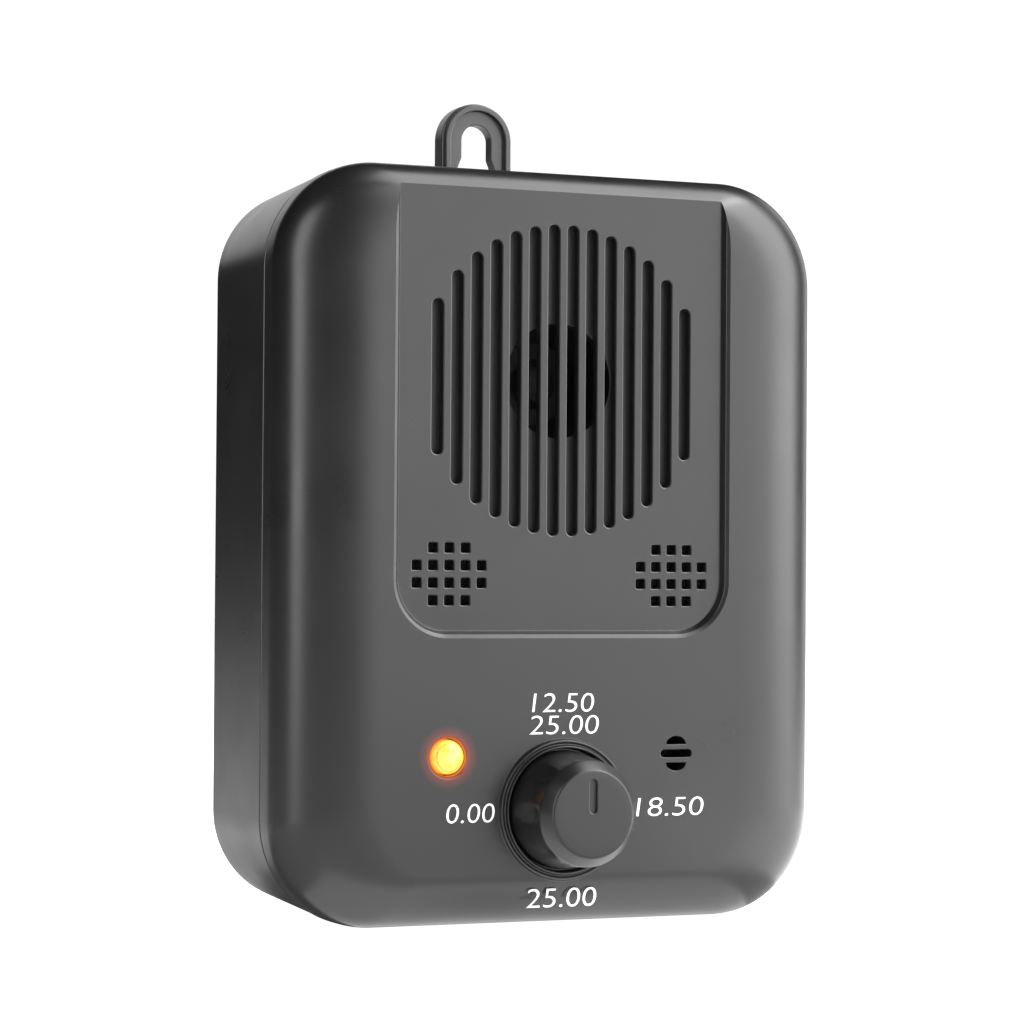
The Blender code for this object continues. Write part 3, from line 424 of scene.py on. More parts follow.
def stand_for(piece, node):
    """The piece takes the CAD node's place, on its body."""
    if piece.type == "MESH":
        piece.data.name = piece.name
        weighted = piece.modifiers.new("even_shading", "WEIGHTED_NORMAL")
        weighted.keep_sharp = True
    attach(piece, frame["nodes"][node]["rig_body"])
    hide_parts(node)
    return piece


def fine(node, mesh):
    """A fine piece for a CAD node, in the finish of its material slot."""
    return solid(f"fine_{node}", mesh, FINISHES[SLOTS[node]])


def turned(node, profile, x, z, steps=TURN_STEPS):
    return stand_for(fine(node, fresh(add_turned, profile, x, z, steps)), node)


# ---------------------------------------------------------------- materials


SHELL_COLOUR = (0.008, 0.008, 0.0082)
SHELL_ROUGHNESS = 0.3
DARK = (0.012, 0.012, 0.012)
MOULDED = {"tint": 0.06, "grain": 9000, "strength": 0.16}


def node_of(tree, kind, **inputs):
    made = tree.nodes.new(kind)
    for name, value in inputs.items():
        made.inputs[name.replace("_", " ")].default_value = value
    return made


def ranged(tree, value, low, high, start=0.0, stop=1.0):
    """Maps a value from start..stop to low..high."""
    made = tree.nodes.new("ShaderNodeMapRange")
    for name, number in (("From Min", start), ("From Max", stop), ("To Min", low), ("To Max", high)):
        made.inputs[name].default_value = number
    tree.links.new(value, made.inputs["Value"])
    return made.outputs["Result"]


def noise(tree, place_socket, scale, detail=3.0, roughness=0.55):
    made = node_of(tree, "ShaderNodeTexNoise", Scale=scale, Detail=detail, Roughness=roughness)
    tree.links.new(place_socket, made.inputs["Vector"])
    return made.outputs["Fac"]


def mixed(tree, factor, first, second):
    """Blends two colours, each a plain colour or a socket."""
    made = tree.nodes.new("ShaderNodeMix")
    made.data_type = "RGBA"
    tree.links.new(factor, made.inputs["Factor"])
    for socket, colour in ((made.inputs[6], first), (made.inputs[7], second)):
        if isinstance(colour, tuple):
            socket.default_value = (*colour, 1.0)
        else:
            tree.links.new(colour, socket)
    return made.outputs[2]


def bumped(tree, shader, height, strength, depth):
    bump = node_of(tree, "ShaderNodeBump", Strength=strength, Distance=depth)
    tree.links.new(height, bump.inputs["Height"])
    tree.links.new(bump.outputs["Normal"], shader.inputs["Normal"])


def surface(name, colour, roughness, metallic=0.0, tint=0.1, blotch=90, grain=6000, strength=0.25):
    """A material with a faint drift of colour and gloss, and a fine grain."""
    made = bpy.data.materials.new(name)
    made.use_nodes = True
    tree = made.node_tree
    shader = tree.nodes["Principled BSDF"]
    shader.inputs["Metallic"].default_value = metallic
    spot = tree.nodes.new("ShaderNodeTexCoord").outputs["Object"]
    drift = noise(tree, spot, blotch)
    light = tuple(min(1.0, part * (1 + tint)) for part in colour)
    dark = tuple(part * (1 - tint) for part in colour)
    tree.links.new(mixed(tree, drift, dark, light), shader.inputs["Base Color"])
    gloss = ranged(tree, drift, roughness - 0.03, roughness + 0.03, 0.3, 0.7)
    tree.links.new(gloss, shader.inputs["Roughness"])
    bumped(tree, shader, noise(tree, spot, grain), strength, 0.01 * MM)
    return made


def distance_from(tree, spot, point):
    made = tree.nodes.new("ShaderNodeVectorMath")
    made.operation = "DISTANCE"
    tree.links.new(spot, made.inputs[0])
    made.inputs[1].default_value = point
    return made.outputs["Value"]


def ramp(tree, value, stops):
    """A colour ramp: stops are (place, colour)."""
    made = tree.nodes.new("ShaderNodeValToRGB")
    bar = made.color_ramp
    for index, (position, colour) in enumerate(stops):
        stop = bar.elements[index] if index < 2 else bar.elements.new(position)
        stop.position = position
        stop.color = (*colour, 1.0)
    tree.links.new(value, made.inputs["Fac"])
    return made.outputs["Color"]


def opened(material):
    """A material's nodes, its shader and its object coordinates."""
    tree = material.node_tree
    spot = next(node for node in tree.nodes if node.type == "TEX_COORD").outputs["Object"]
    return tree, tree.nodes["Principled BSDF"], spot


def glowing(tree, shader, colour, strength):
    tree.links.new(colour, shader.inputs["Emission Color"])
    shader.inputs["Emission Strength"].default_value = strength


def overlaid(tree, shader, mask, colour):
    """Covers the material's own colour with another where the mask is one."""
    under = shader.inputs["Base Color"].links[0].from_socket
    tree.links.new(mixed(tree, mask, under, colour), shader.inputs["Base Color"])


def shell_finish():
    """Charcoal ABS with a fine spark texture, and the indicator's light on the plastic round it, painted in
    as an orange glow.
    """
    made = surface("shell_plastic_fine", SHELL_COLOUR, SHELL_ROUGHNESS, **MOULDED)
    tree, shader, spot = opened(made)
    # Painted light: the plastic round the indicator glows orange, fading with distance from it, in place of
    # the light the indicator casts on it.
    reach = distance_from(tree, spot, place(LED_X, 0, SIGNAL_Z))
    glow = ranged(tree, reach, 0.0, 1.0, 2.5 * MM, 4.7 * MM)
    stops = [
        (0.0, (1.0, 0.42, 0.07)),
        (0.14, (0.85, 0.26, 0.04)),
        (0.19, (0.16, 0.025, 0.01)),
        (0.24, (0.36, 0.05, 0.022)),
        (0.45, (0.12, 0.015, 0.01)),
        (1.0, (0, 0, 0)),
    ]
    glowing(tree, shader, ramp(tree, glow, stops), 1.0)
    return made


def lens_finish():
    """Amber epoxy lit from within: a pale core, a golden cup and an orange rim."""
    made = surface("amber_lens_fine", (0.9, 0.35, 0.05), 0.12, tint=0.1, strength=0.05)
    tree, shader, spot = opened(made)
    flat = tree.nodes.new("ShaderNodeVectorMath")
    flat.operation = "MULTIPLY"
    flat.inputs[1].default_value = (1, 0, 1)
    tree.links.new(spot, flat.inputs[0])
    reach = distance_from(tree, flat.outputs["Vector"], (LED_X * MM, 0, SIGNAL_Z * MM))
    share = ranged(tree, reach, 0.0, 1.0, 0, 2.6 * MM)
    stops = [
        (0.0, (1.0, 0.93, 0.36)),
        (0.45, (1.0, 0.76, 0.13)),
        (0.70, (0.95, 0.52, 0.05)),
        (0.78, (0.20, 0.06, 0.01)),
        (0.84, (1.0, 0.58, 0.11)),
        (0.93, (1.0, 0.38, 0.05)),
        (1.0, (0.25, 0.05, 0.01)),
    ]
    core = ramp(tree, share, stops)
    fleck = ranged(tree, noise(tree, spot, 1500, 2.0), 0.0, 1.0, 0.50, 0.62)
    glowing(tree, shader, mixed(tree, fleck, core, (0.58, 0.30, 0.03)), 0.95)
    return made


def board_finish():
    """Green solder mask, paler over a grid of copper tracks."""
    made = surface("board_fine", (0.012, 0.10, 0.045), 0.3, tint=0.25, blotch=500)
    tree, shader, spot = opened(made)
    bricks = node_of(tree, "ShaderNodeTexBrick", Scale=240.0, Mortar_Size=0.03)
    turned_spot = node_of(tree, "ShaderNodeMapping", Rotation=(math.radians(90), 0, 0))
    tree.links.new(spot, turned_spot.inputs["Vector"])
    tree.links.new(turned_spot.outputs["Vector"], bricks.inputs["Vector"])
    overlaid(tree, shader, bricks.outputs["Fac"], (0.03, 0.2, 0.09))
    return made


def jacket_finish():
    """Printed metal: a dark jacket with a paler band near its studs."""
    made = surface("battery_jacket_fine", (0.05, 0.052, 0.056), 0.34, 0.7, tint=0.1, blotch=300)
    tree, shader, spot = opened(made)
    parts = tree.nodes.new("ShaderNodeSeparateXYZ")
    tree.links.new(spot, parts.inputs["Vector"])
    band_end = box("battery_9v")[0].x + 13
    band = ranged(tree, parts.outputs["X"], 1.0, 0.0, band_end * MM, (band_end + 0.2) * MM)
    overlaid(tree, shader, band, (0.42, 0.43, 0.45))
    return made


def foam_finish():
    made = surface("foam_fine", DARK, 0.95, tint=0.4, blotch=2500)
    tree, shader, spot = opened(made)
    cells = node_of(tree, "ShaderNodeTexVoronoi", Scale=2200.0)
    tree.links.new(spot, cells.inputs["Vector"])
    bumped(tree, shader, cells.outputs["Distance"], 0.9, 0.15 * MM)
    return made


FINISHES = {
    "shell_plastic": shell_finish(),
    "black_plastic": surface("black_plastic_fine", (0.007, 0.007, 0.0072), 0.34, **MOULDED),
    "grey_plastic": surface("grey_plastic_fine", (0.016, 0.016, 0.0165), 0.5, tint=0.08),
    "black_rubber": surface("black_rubber_fine", DARK, 0.75, tint=0.2, blotch=400, strength=0.4),
    "foam": foam_finish(),
    "zinc_steel": surface("zinc_steel_fine", (0.55, 0.55, 0.54), 0.34, 1.0, 0.1, 700, 2500, 0.12),
    "cast_alloy": surface("cast_alloy_fine", (0.5, 0.5, 0.51), 0.42, 1.0, 0.1, 900, 3500, 0.3),
    "brass": surface("brass_fine", (0.62, 0.42, 0.16), 0.32, 1.0, blotch=700, strength=0.15),
    # The diaphragm is near black: painted shade, which keeps the throat behind the grille dark.
    "diaphragm_metal": surface("diaphragm_fine", (0.006, 0.006, 0.0065), 0.7, 0.3, blotch=500),
    "amber_lens": lens_finish(),
    "connector_white": surface("white_nylon_fine", (0.62, 0.6, 0.54), 0.5, tint=0.05),
    "board_green": board_finish(),
    "chip_black": surface("chip_fine", (0.015, 0.015, 0.015), 0.6, tint=0.2, grain=4000, strength=0.5),
    "ferrite": surface("ferrite_fine", (0.03, 0.03, 0.032), 0.6, tint=0.3, blotch=900, strength=0.5),
    "capacitor_sleeve": surface("sleeve_fine", (0.012, 0.018, 0.06), 0.3, tint=0.1),
    "battery_jacket": jacket_finish(),
    "red_insulation": surface("red_pvc_fine", (0.42, 0.012, 0.012), 0.35, tint=0.1, blotch=600),
    "black_insulation": surface("black_pvc_fine", DARK, 0.35, tint=0.15, blotch=600),
}
# The tab's plastic is lighter than the shell's: partly the tab's own lighter grey, partly painted light that
# brightens its face as the reflection it catches would.
TAB_FINISH = surface("tab_plastic_fine", (0.04, 0.04, 0.0405), SHELL_ROUGHNESS, **MOULDED)
INK = surface("dial_ink", (0.86, 0.86, 0.86), 0.5, tint=0.03, grain=5000, strength=0.1)


# ---------------------------------------------------------------- the case


def body_ring(depth, inset_x, inset_z=None, flow=1.0):
    """The body's outline, moved in, at one depth. flow is how much the corner radii shrink with it."""
    inset_z = inset_x if inset_z is None else inset_z
    radius_x = CORNER_RADIUS - flow * inset_x
    radius_z = CORNER_RADIUS - flow * inset_z
    across = HALF_WIDTH - inset_x - radius_x
    low = inset_z + radius_z
    high = BODY_HEIGHT - inset_z - radius_z
    points = []
    for quarter, (x, z) in enumerate(((across, high), (-across, high), (-across, low), (across, low))):
        points += arc(x, z, radius_x, radius_z, 90 * quarter, 90 * quarter + 90, CORNER_STEPS)
    return [place(x, depth, z) for x, z in points]


def round_over(front, base_inset, extra_x, extra_z, extra_depth, steps):
    rings = []
    for step in range(steps + 1):
        angle = math.radians(90 - 90 * step / steps)
        inward = 1 - math.cos(angle)
        depth = front + extra_depth * (1 - math.sin(angle))
        inset_x = base_inset + extra_x * inward
        inset_z = base_inset + extra_z * inward
        radius_loss = base_inset + CORNER_FLOW * extra_x * inward
        rings.append(body_ring(depth, inset_x, inset_z, radius_loss / inset_x if inset_x else 1.0))
    return rings


def seam_edge(radius=0.42, steps=3):
    """The rounded edge where the front shell's side meets the seam."""
    rings = []
    for step in range(steps + 1):
        angle = math.radians(90 * step / steps)
        depth = SEAM_DEPTH - radius * (1 - math.sin(angle))
        rings.append(body_ring(depth, radius * (1 - math.cos(angle))))
    return rings


def front_shell():
    outside = round_over(0, 0, ROUND_OVER_X, ROUND_OVER_Z, ROUND_OVER_DEPTH, ROUND_OVER_STEPS)
    outside += seam_edge()
    lap = [body_ring(SEAM_DEPTH, LAP_INSET), body_ring(LAP_DEPTH, LAP_INSET)]
    extra_x = ROUND_OVER_X - 2
    extra_z = ROUND_OVER_Z - 2
    inside = round_over(FRONT_WALL, SIDE_WALL, extra_x, extra_z, LAP_DEPTH - FRONT_WALL, 8)
    shell = fine("front_shell", fresh(add_loft, outside + lap + inside[::-1]))
    side = [(1.35, -0.15), (0.5, 0.29), (0, PANEL_DEPTH), (-0.6, PANEL_DEPTH)]
    cut(shell, fresh(add_sweep, panel_outline, [(1.35, -1)] + soften(side, 0.1)))
    join(shell, front_posts())
    join(shell, knob_ring())
    cut(shell, front_holes())
    stand_for(shell, "front_shell")


def panel_outline(growth):
    half = PANEL_HALF_WIDTH + growth
    radius = PANEL_CORNER + growth
    low = PANEL_BOTTOM - growth
    top = BODY_HEIGHT + 5
    outline = [(half, top), (-half, top)]
    outline += arc(-half + radius, low + radius, radius, radius, 180, 270, CORNER_STEPS)
    return outline + arc(half - radius, low + radius, radius, radius, 270, 360, CORNER_STEPS)


def knob_ring():
    """The raised ring: an outer ridge, a groove and a higher lip at the well."""
    side = [(10.56, 0.06), (10.4, -0.06), (10.2, -0.62), (9.93, -0.66)]
    side += [(9.72, -0.38), (9.52, -0.46), (9.36, -1.0), (8.9, -1.0)]
    profile = [(8.7, 0.5), (10.56, 0.5)] + soften(side, 0.13) + [(8.7, -1.0)]
    return fresh(add_turned, profile, 0, KNOB_Z)


def front_posts():
    root = FRONT_WALL - 0.4
    mesh = bmesh.new()
    for posts, radius, top in (
        (CASE_POSTS, 3.2, CASE_POST_DEPTH),
        (BOARD_POSTS, 2.6, BOARD_DEPTH - GAP),
        (TWEETER_POSTS, 2.4, 6.6),
    ):
        add_rods(mesh, posts, radius, root, top, 32)
    return mesh


def slot_outline(x, z, half_length, half_width, level=False):
    """A slot with round ends, which stands upright or lies level."""
    reach = half_length - half_width
    across, rise, start, steps = (reach, 0, -90, 8) if level else (0, reach, 0, 10)

    def outline(growth):
        width = half_width + growth
        first = arc(x + across, z + rise, width, width, start, start + 180, steps)
        return first + arc(x - across, z - rise, width, width, start + 180, start + 360, steps)

    return outline


def dome_outline(x, z, up):
    """A half-round opening with its flat side towards the middle slot."""
    def outline(growth):
        start = 0 if up > 0 else 180
        return arc(x, z - up * growth, 1.65 + growth, 1.25 + 2 * growth, start, start + 180, 14)

    return outline


def front_holes():
    behind = FRONT_WALL + 0.8
    mesh = bmesh.new()
    for index in range(SLOT_COUNT):
        x = (index - (SLOT_COUNT - 1) / 2) * SLOT_PITCH
        slot = slot_outline(x, GRILLE_Z, math.sqrt(GRILLE_RADIUS**2 - x**2), SLOT_WIDTH / 2)
        add_sweep(mesh, slot, pit(PANEL_DEPTH, behind))
    for side in (-1, 1):
        for x, z in vent_places(side * VENT_X):
            hole = rounded_box(x, z, VENT_HOLE / 2, VENT_HOLE / 2, 0.22, 3)
            add_sweep(mesh, hole, pit(PANEL_DEPTH, behind, 0.14))
    bore = BUSHING_RADIUS + GAP
    mouth = WELL_RADIUS + 0.35
    well = [(mouth, -1.02), (WELL_RADIUS, -0.95), (WELL_RADIUS, WELL_DEPTH), (bore, WELL_DEPTH)]
    profile = [(0, -2), (mouth, -2)] + soften(well, 0.2) + [(bore, behind), (0, behind)]
    add_turned(mesh, profile, 0, KNOB_Z)
    bore = LED_RADIUS + GAP
    mouth = LED_RADIUS + 0.95
    seat = [(mouth, -0.004), (LED_RADIUS + 0.65, 0), (bore, 0.3)]
    profile = [(0, -1), (mouth, -1)] + soften(seat, 0.15) + [(bore, behind), (0, behind)]
    add_turned(mesh, profile, LED_X, SIGNAL_Z, 48)
    add_sweep(mesh, slot_outline(MICROPHONE_X, SIGNAL_Z, 2.6, 0.6, level=True), pit(0, behind, 0.1))
    for up in (-1, 1):
        opening = dome_outline(MICROPHONE_X, SIGNAL_Z + up * 1.35, up)
        add_sweep(mesh, opening, pit(0, behind, 0.1))
    for posts, radius, start, top in (
        (CASE_POSTS, 1.5, 12, CASE_POST_DEPTH),
        (BOARD_POSTS, 1.3, 5, BOARD_DEPTH),
        (TWEETER_POSTS, 1.3, 3.2, 6.6),
    ):
        add_rods(mesh, posts, radius, start, top + 1, 20)
    return mesh


def vent_places(middle_x):
    places = []
    for row, count in enumerate(VENT_ROWS):
        z = VENT_Z + ((len(VENT_ROWS) - 1) / 2 - row) * VENT_PITCH
        for column in range(count):
            places.append((middle_x + (column - (count - 1) / 2) * VENT_PITCH, z))
    return places


def rear_shell():
    inner_depth = BODY_DEPTH - REAR_WALL
    bevel = soften([(0.44, 0), (0.4, 0), (0, 0.26), (0, 0.4)], 0.05)
    outside = [body_ring(SEAM_DEPTH + GAP + back, REAR_STEP + inset) for inset, back in bevel]
    for step in range(11):
        angle = math.radians(9 * step)
        inset = REAR_TAPER + REAR_FILLET * (1 - math.cos(angle))
        outside.append(body_ring(BODY_DEPTH - REAR_FILLET * (1 - math.sin(angle)), inset))
    tongue = [
        body_ring(SEAM_DEPTH + GAP, LAP_INSET + GAP),
        body_ring(TONGUE_FRONT, LAP_INSET + GAP),
        body_ring(TONGUE_FRONT, SIDE_WALL),
    ]
    inside = [body_ring(inner_depth - 1.7, SIDE_WALL + 1.2), body_ring(inner_depth, SIDE_WALL + 2.9)]
    shell = fine("rear_shell", fresh(add_loft, outside[::-1] + tongue + inside))
    join(shell, rear_feet())
    join(shell, rear_tubes())
    join(shell, rear_blocks())
    for cutter in (rear_screw_holes, bay_room, lead_slot, bay_opening, door_rebate):
        cut(shell, cutter())
    cut(shell, pocket_room())
    cut(shell, pocket_slot())
    stand_for(shell, "rear_shell")


def rear_feet():
    """Two low ribs that level the case when it stands."""
    mesh = bmesh.new()
    for side in (-1, 1):
        rib = rounded_box(side * 18, 30.75, 6, 2.25, 0.6)
        add_sweep(mesh, rib, [(-0.3, 0), (-0.1, 0.06), (0, 0.3), (0, REAR_TAPER + 1.2)], upright)
    return mesh


def rear_tubes():
    return fresh(add_rods, CASE_POSTS, 3.8, CASE_POST_DEPTH + GAP, BLOCK_BACK, 40)


def rear_blocks():
    front = BAY_FLOOR - BAY_WALL
    half = BAY_HALF_LENGTH + BAY_WALL
    mesh = bmesh.new()
    add_box(mesh, (-half, front, BAY_BOTTOM - BAY_WALL), (half, BLOCK_BACK, BAY_TOP + BAY_WALL))
    half = TAB_HIGH.x + GAP + 1.6
    add_box(mesh, (-half, 28, TAB_LOW.z - 1.9), (half, BLOCK_BACK, BODY_HEIGHT - 2.7))
    return mesh


def rear_screw_holes():
    front = CASE_POST_DEPTH - 1
    mouth = soften([(3.1, CASE_LEDGE_DEPTH), (3.1, BODY_DEPTH), (3.6, BODY_DEPTH + 0.004)], 0.25)
    profile = [(0, front), (1.75, front), (1.75, CASE_LEDGE_DEPTH)] + mouth
    profile += [(3.6, BODY_DEPTH + 1), (0, BODY_DEPTH + 1)]
    mesh = bmesh.new()
    for x, z in CASE_POSTS:
        add_turned(mesh, profile, x, z, 48)
    return mesh


def bay_room():
    room = boxed(-BAY_HALF_LENGTH, BAY_HALF_LENGTH, BAY_BOTTOM, BAY_TOP, 0.8)
    floor_edge = [(-0.5, BAY_FLOOR), (-0.15, BAY_FLOOR + 0.15), (0, BAY_FLOOR + 0.5)]
    return fresh(add_sweep, room, floor_edge + [(0, REBATE_DEPTH - DOOR_LEDGE)])


def lead_slot():
    outer = -BAY_HALF_LENGTH - 3
    return fresh(add_box, (outer, 24.2, 25), (outer + 4, 28.6, 34.5))


def bay_opening():
    half = DOOR_HIGH.x - 1.4
    opening = boxed(-half, half, DOOR_BOTTOM + 1.1, DOOR_HIGH.z - 1.5, 0.6)
    return fresh(add_sweep, opening, [(0, REBATE_DEPTH - 2 * DOOR_LEDGE), (0, REBATE_DEPTH + 1)])


def door_rebate():
    """The sunk frame that the door lies in, with a finger scoop above it."""
    half_z = (DOOR_HIGH.z - DOOR_BOTTOM) / 2
    frame_outline = rounded_box(0, DOOR_BOTTOM + half_z, DOOR_HIGH.x + GAP, half_z + GAP, 0.9)

    def with_scoop(growth):
        points = frame_outline(growth)
        top = DOOR_HIGH.z + GAP + growth
        scoop = arc(0, top, 7 + growth, 3.6, 0, 180, 24)
        corner = len(points) // 4
        return points[:corner] + scoop + points[corner:]

    lip = 0.2
    mouth = [(0, REBATE_DEPTH), (0, BODY_DEPTH), (3 * lip, BODY_DEPTH + 0.004)]
    profile = soften(mouth, 1.4 * lip)
    return fresh(add_sweep, with_scoop, profile + [(3 * lip, BODY_DEPTH + 1)])


def pocket_room():
    half = TAB_HIGH.x + GAP
    profile = [
        (TAB_DEPTH - GAP, TAB_LOW.z - GAP),
        (BODY_DEPTH - 2.1, TAB_LOW.z - GAP),
        (BODY_DEPTH - 2.1, BODY_HEIGHT + 2),
        (POCKET_SHELF, BODY_HEIGHT + 2),
        (POCKET_SHELF, POCKET_STEP_Z),
        (TAB_DEPTH - GAP, POCKET_STEP_Z),
    ]
    return fresh(add_bar, profile, -half, half)


def pocket_slot():
    half = TAB_HALF_WIDTH + GAP
    mesh = bmesh.new()
    low = (-half, BODY_DEPTH - 3, TAB_LOW.z - GAP)
    add_box(mesh, low, (half, BODY_DEPTH + 1, BODY_HEIGHT + 2))
    return mesh


def case_seal():
    front = LAP_DEPTH + GAP
    back = TONGUE_FRONT - GAP
    outer, inner = LAP_INSET + GAP, SIDE_WALL - GAP
    profile = [(outer, front), (outer, back), (inner, back), (inner, front)]
    profile = soften(profile, 0.3, closed=True)
    rings = [body_ring(depth, inset) for inset, depth in profile]
    stand_for(fine("case_seal", fresh(add_loft, rings, closed=True)), "case_seal")


# ---------------------------------------------------------------- tab and door


def tab_outline(bottom):
    def outline(growth):
        half = TAB_HALF_WIDTH + growth
        centre = TAB_HIGH.z - TAB_HALF_WIDTH
        low = bottom - growth
        return [(-half, low), (half, low)] + arc(0, centre, half, half, 0, 180, 40)

    return outline


def keyhole_outline(growth):
    centre = TAB_HIGH.z - TAB_HALF_WIDTH
    neck, bulb = KEY_NECK + growth, KEY_BULB + growth
    flare_top = KEY_FLARE_TOP + growth * math.tan(KEY_FLARE_ANGLE / 2)
    tangent_x = KEY_BULB * math.cos(KEY_FLARE_ANGLE)
    flare_drop = (tangent_x - KEY_NECK) / math.tan(KEY_FLARE_ANGLE)
    bulb_z = KEY_FLARE_TOP - flare_drop - KEY_BULB * math.sin(KEY_FLARE_ANGLE)
    start = math.degrees(KEY_FLARE_ANGLE)
    outline = [(neck, flare_top)] + arc(0, centre, neck, neck, 0, 180, 24)
    return outline + [(-neck, flare_top)] + arc(0, bulb_z, bulb, bulb, 180 - start, 360 + start, 40)


def hanging_tab():
    """The tab: a stepped edge, rims round both faces, a keyhole, and wings in the case's grooves."""
    step = 0.3
    profile = [(-1.5, TAB_DEPTH), (-step, TAB_DEPTH), (-step, TAB_DEPTH + 0.95)]
    profile += [(0, TAB_DEPTH + 1.05), (0, BODY_DEPTH), (-1.5, BODY_DEPTH)]
    profile = soften(profile, 0.22)
    tab = solid("fine_hanging_tab", fresh(add_sweep, tab_outline(TAB_LOW.z), profile), TAB_FINISH)
    wings = bmesh.new()
    for side in (-1, 1):
        ends = sorted((side * (TAB_HALF_WIDTH - 2), side * TAB_HIGH.x))
        low = (ends[0], TAB_DEPTH + 0.35, TAB_LOW.z + 0.4)
        add_box(wings, low, (ends[1], BODY_DEPTH - 2.4, POCKET_STEP_Z - 1))
    join(tab, wings)
    faces = bmesh.new()
    floor = tab_outline(POCKET_STEP_Z + 1)
    lip = 0.12
    rim = TAB_RIM + 0.1
    sunk = [(growth - rim, depth) for growth, depth in pit(TAB_DEPTH, TAB_DEPTH + TAB_RECESS, lip, 0.12)]
    add_sweep(faces, floor, sunk)
    add_sweep(faces, floor, mirrored(sunk, (TAB_DEPTH + BODY_DEPTH) / 2))
    cut(tab, faces)
    web_front, web_back = TAB_DEPTH + TAB_RECESS, BODY_DEPTH - TAB_RECESS
    halfway = (web_front + web_back) / 2
    mouth = pit(web_front, halfway, lip)
    through = mouth + mirrored(mouth, halfway)[::-1][1:]
    cut(tab, fresh(add_sweep, keyhole_outline, through))
    stand_for(tab, "hanging_tab")


def battery_door():
    half_z = (DOOR_HIGH.z - DOOR_BOTTOM) / 2
    front = BODY_DEPTH - DOOR_THICK
    plate = rounded_box(0, DOOR_BOTTOM + half_z, DOOR_HIGH.x, half_z, 0.7)
    mesh = bmesh.new()
    profile = slab_profile(front, BODY_DEPTH, 0.3, 1)
    add_sweep(mesh, plate, profile)
    door = fine("battery_door", mesh)
    hook_back = front - GAP - DOOR_LEDGE - GAP
    hook_front = hook_back - HOOK_THICK
    outline = [
        (front + 0.5, DOOR_BOTTOM + 1.4),
        (front + 0.5, DOOR_BOTTOM + 2.2),
        (hook_back, DOOR_BOTTOM + 2.2),
        (hook_front, DOOR_BOTTOM + 0.9),
        (hook_front, DOOR_BOTTOM - 0.9),
        (hook_back, DOOR_BOTTOM - 0.9),
        (hook_back, DOOR_BOTTOM + 1.4),
    ]
    outline = soften(outline, 0.2, closed=True)
    hooks = bmesh.new()
    for side in (-1, 1):
        add_bar(hooks, outline, side * 14, side * 22)
    top = DOOR_HIGH.z
    latch = rounded_box(0, top - 2.65, 4, 0.75, 0.3)
    latch_profile = [(-0.2, front - 0.5), (0, front - 0.3), (0, front + 0.5)]
    add_sweep(hooks, latch, latch_profile)
    join(door, hooks)
    grooves = bmesh.new()
    for row in range(4):
        groove = slot_outline(0, top - 3.2 - 1.6 * row, 6, 0.4, level=True)
        add_sweep(grooves, groove, mirrored(pit(BODY_DEPTH, BODY_DEPTH + 0.5, 0.1, 0.1), BODY_DEPTH))
    cut(door, grooves)
    stand_for(door, "battery_door")


# ---------------------------------------------------------------- knob and switch


def selector_knob():
    cap = -KNOB_PROUD
    shoulder = cap + KNOB_CHAMFER
    base = WELL_DEPTH - GAP

    def fluted(radius, depth, angle):
        if radius < 4:
            return radius
        fade = min(1.0, max(0.0, (-1.2 - depth) / 5))
        fade *= min(1.0, max(0.0, (depth - shoulder) / 2))
        scallop = max(0.0, math.cos(KNOB_FLUTES * angle)) ** 1.3
        return radius * (1 - 0.06 * fade * scallop)

    outer = [
        (5, cap),
        (6.3, cap),
        (7.75, shoulder),
        (7.9, shoulder + 1.2),
        (8.05, -5.5),
        (8.3, -3.5),
        (8.55, -1.5),
        (8.75, base - 0.02),
        (7.2, base),
    ]
    hollow = [(7.2, -3.9), (SHAFT_RADIUS + GAP, -3.9), (SHAFT_RADIUS + GAP, shoulder), (0, shoulder)]
    mesh = bmesh.new()
    profile = [(0, cap)] + soften(outer, 0.28) + hollow
    add_turned(mesh, profile, 0, KNOB_Z, 192, fluted)
    knob = fine("selector_knob", mesh)
    pointer = bmesh.new()
    mark = slot_outline(0, KNOB_Z + 2.6, 2.45, 0.6)
    add_sweep(pointer, mark, pit(cap, cap + 0.5, 0.12, 0.15))
    cut(knob, pointer)
    stand_for(knob, "selector_knob")


def switch_parts():
    bore = SHAFT_RADIUS + GAP
    bushing = [
        (bore, -3.4),
        (BUSHING_RADIUS - 0.3, -3.4),
        (BUSHING_RADIUS, -3.1),
        (BUSHING_RADIUS, 2.9),
        (7, 2.9),
        (7, 3.5),
        (bore, 3.5),
    ]
    turned("switch_bushing", soften(bushing, 0.12, closed=True), 0, KNOB_Z)
    washer = tube_profile(BUSHING_RADIUS + GAP, 6.5, 0.1, WELL_DEPTH - GAP, 0.1)
    turned("switch_washer", washer, 0, KNOB_Z)


# ---------------------------------------------------------------- indicator, microphone, pads


def indicator():
    rim = LED_RADIUS + 0.4
    dome = []
    for step in range(9):
        angle = math.radians(90 * step / 8)
        dome.append((LED_RADIUS * math.sin(angle), 0.6 - 1.9 * math.cos(angle)))
    profile = dome + soften([(LED_RADIUS, 3.6), (rim, 3.6), (rim, 4.6), (0, 4.6)], 0.1)
    led = fine("indicator_led", fresh(add_turned, profile, LED_X, SIGNAL_Z, 64))
    legs = bmesh.new()
    for side in (-1, 1):
        x = LED_X + side * 1.27
        low = (x - 0.3, 4.2, SIGNAL_Z - 0.3)
        add_box(legs, low, (x + 0.3, BOARD_DEPTH - GAP, SIGNAL_Z + 0.3))
    join(led, legs)
    stand_for(led, "indicator_led")
    spacer = tube_profile(2.0, 3.1, 4.9, BOARD_DEPTH - GAP, 0.15)
    turned("led_spacer", spacer, LED_X, SIGNAL_Z, 48)


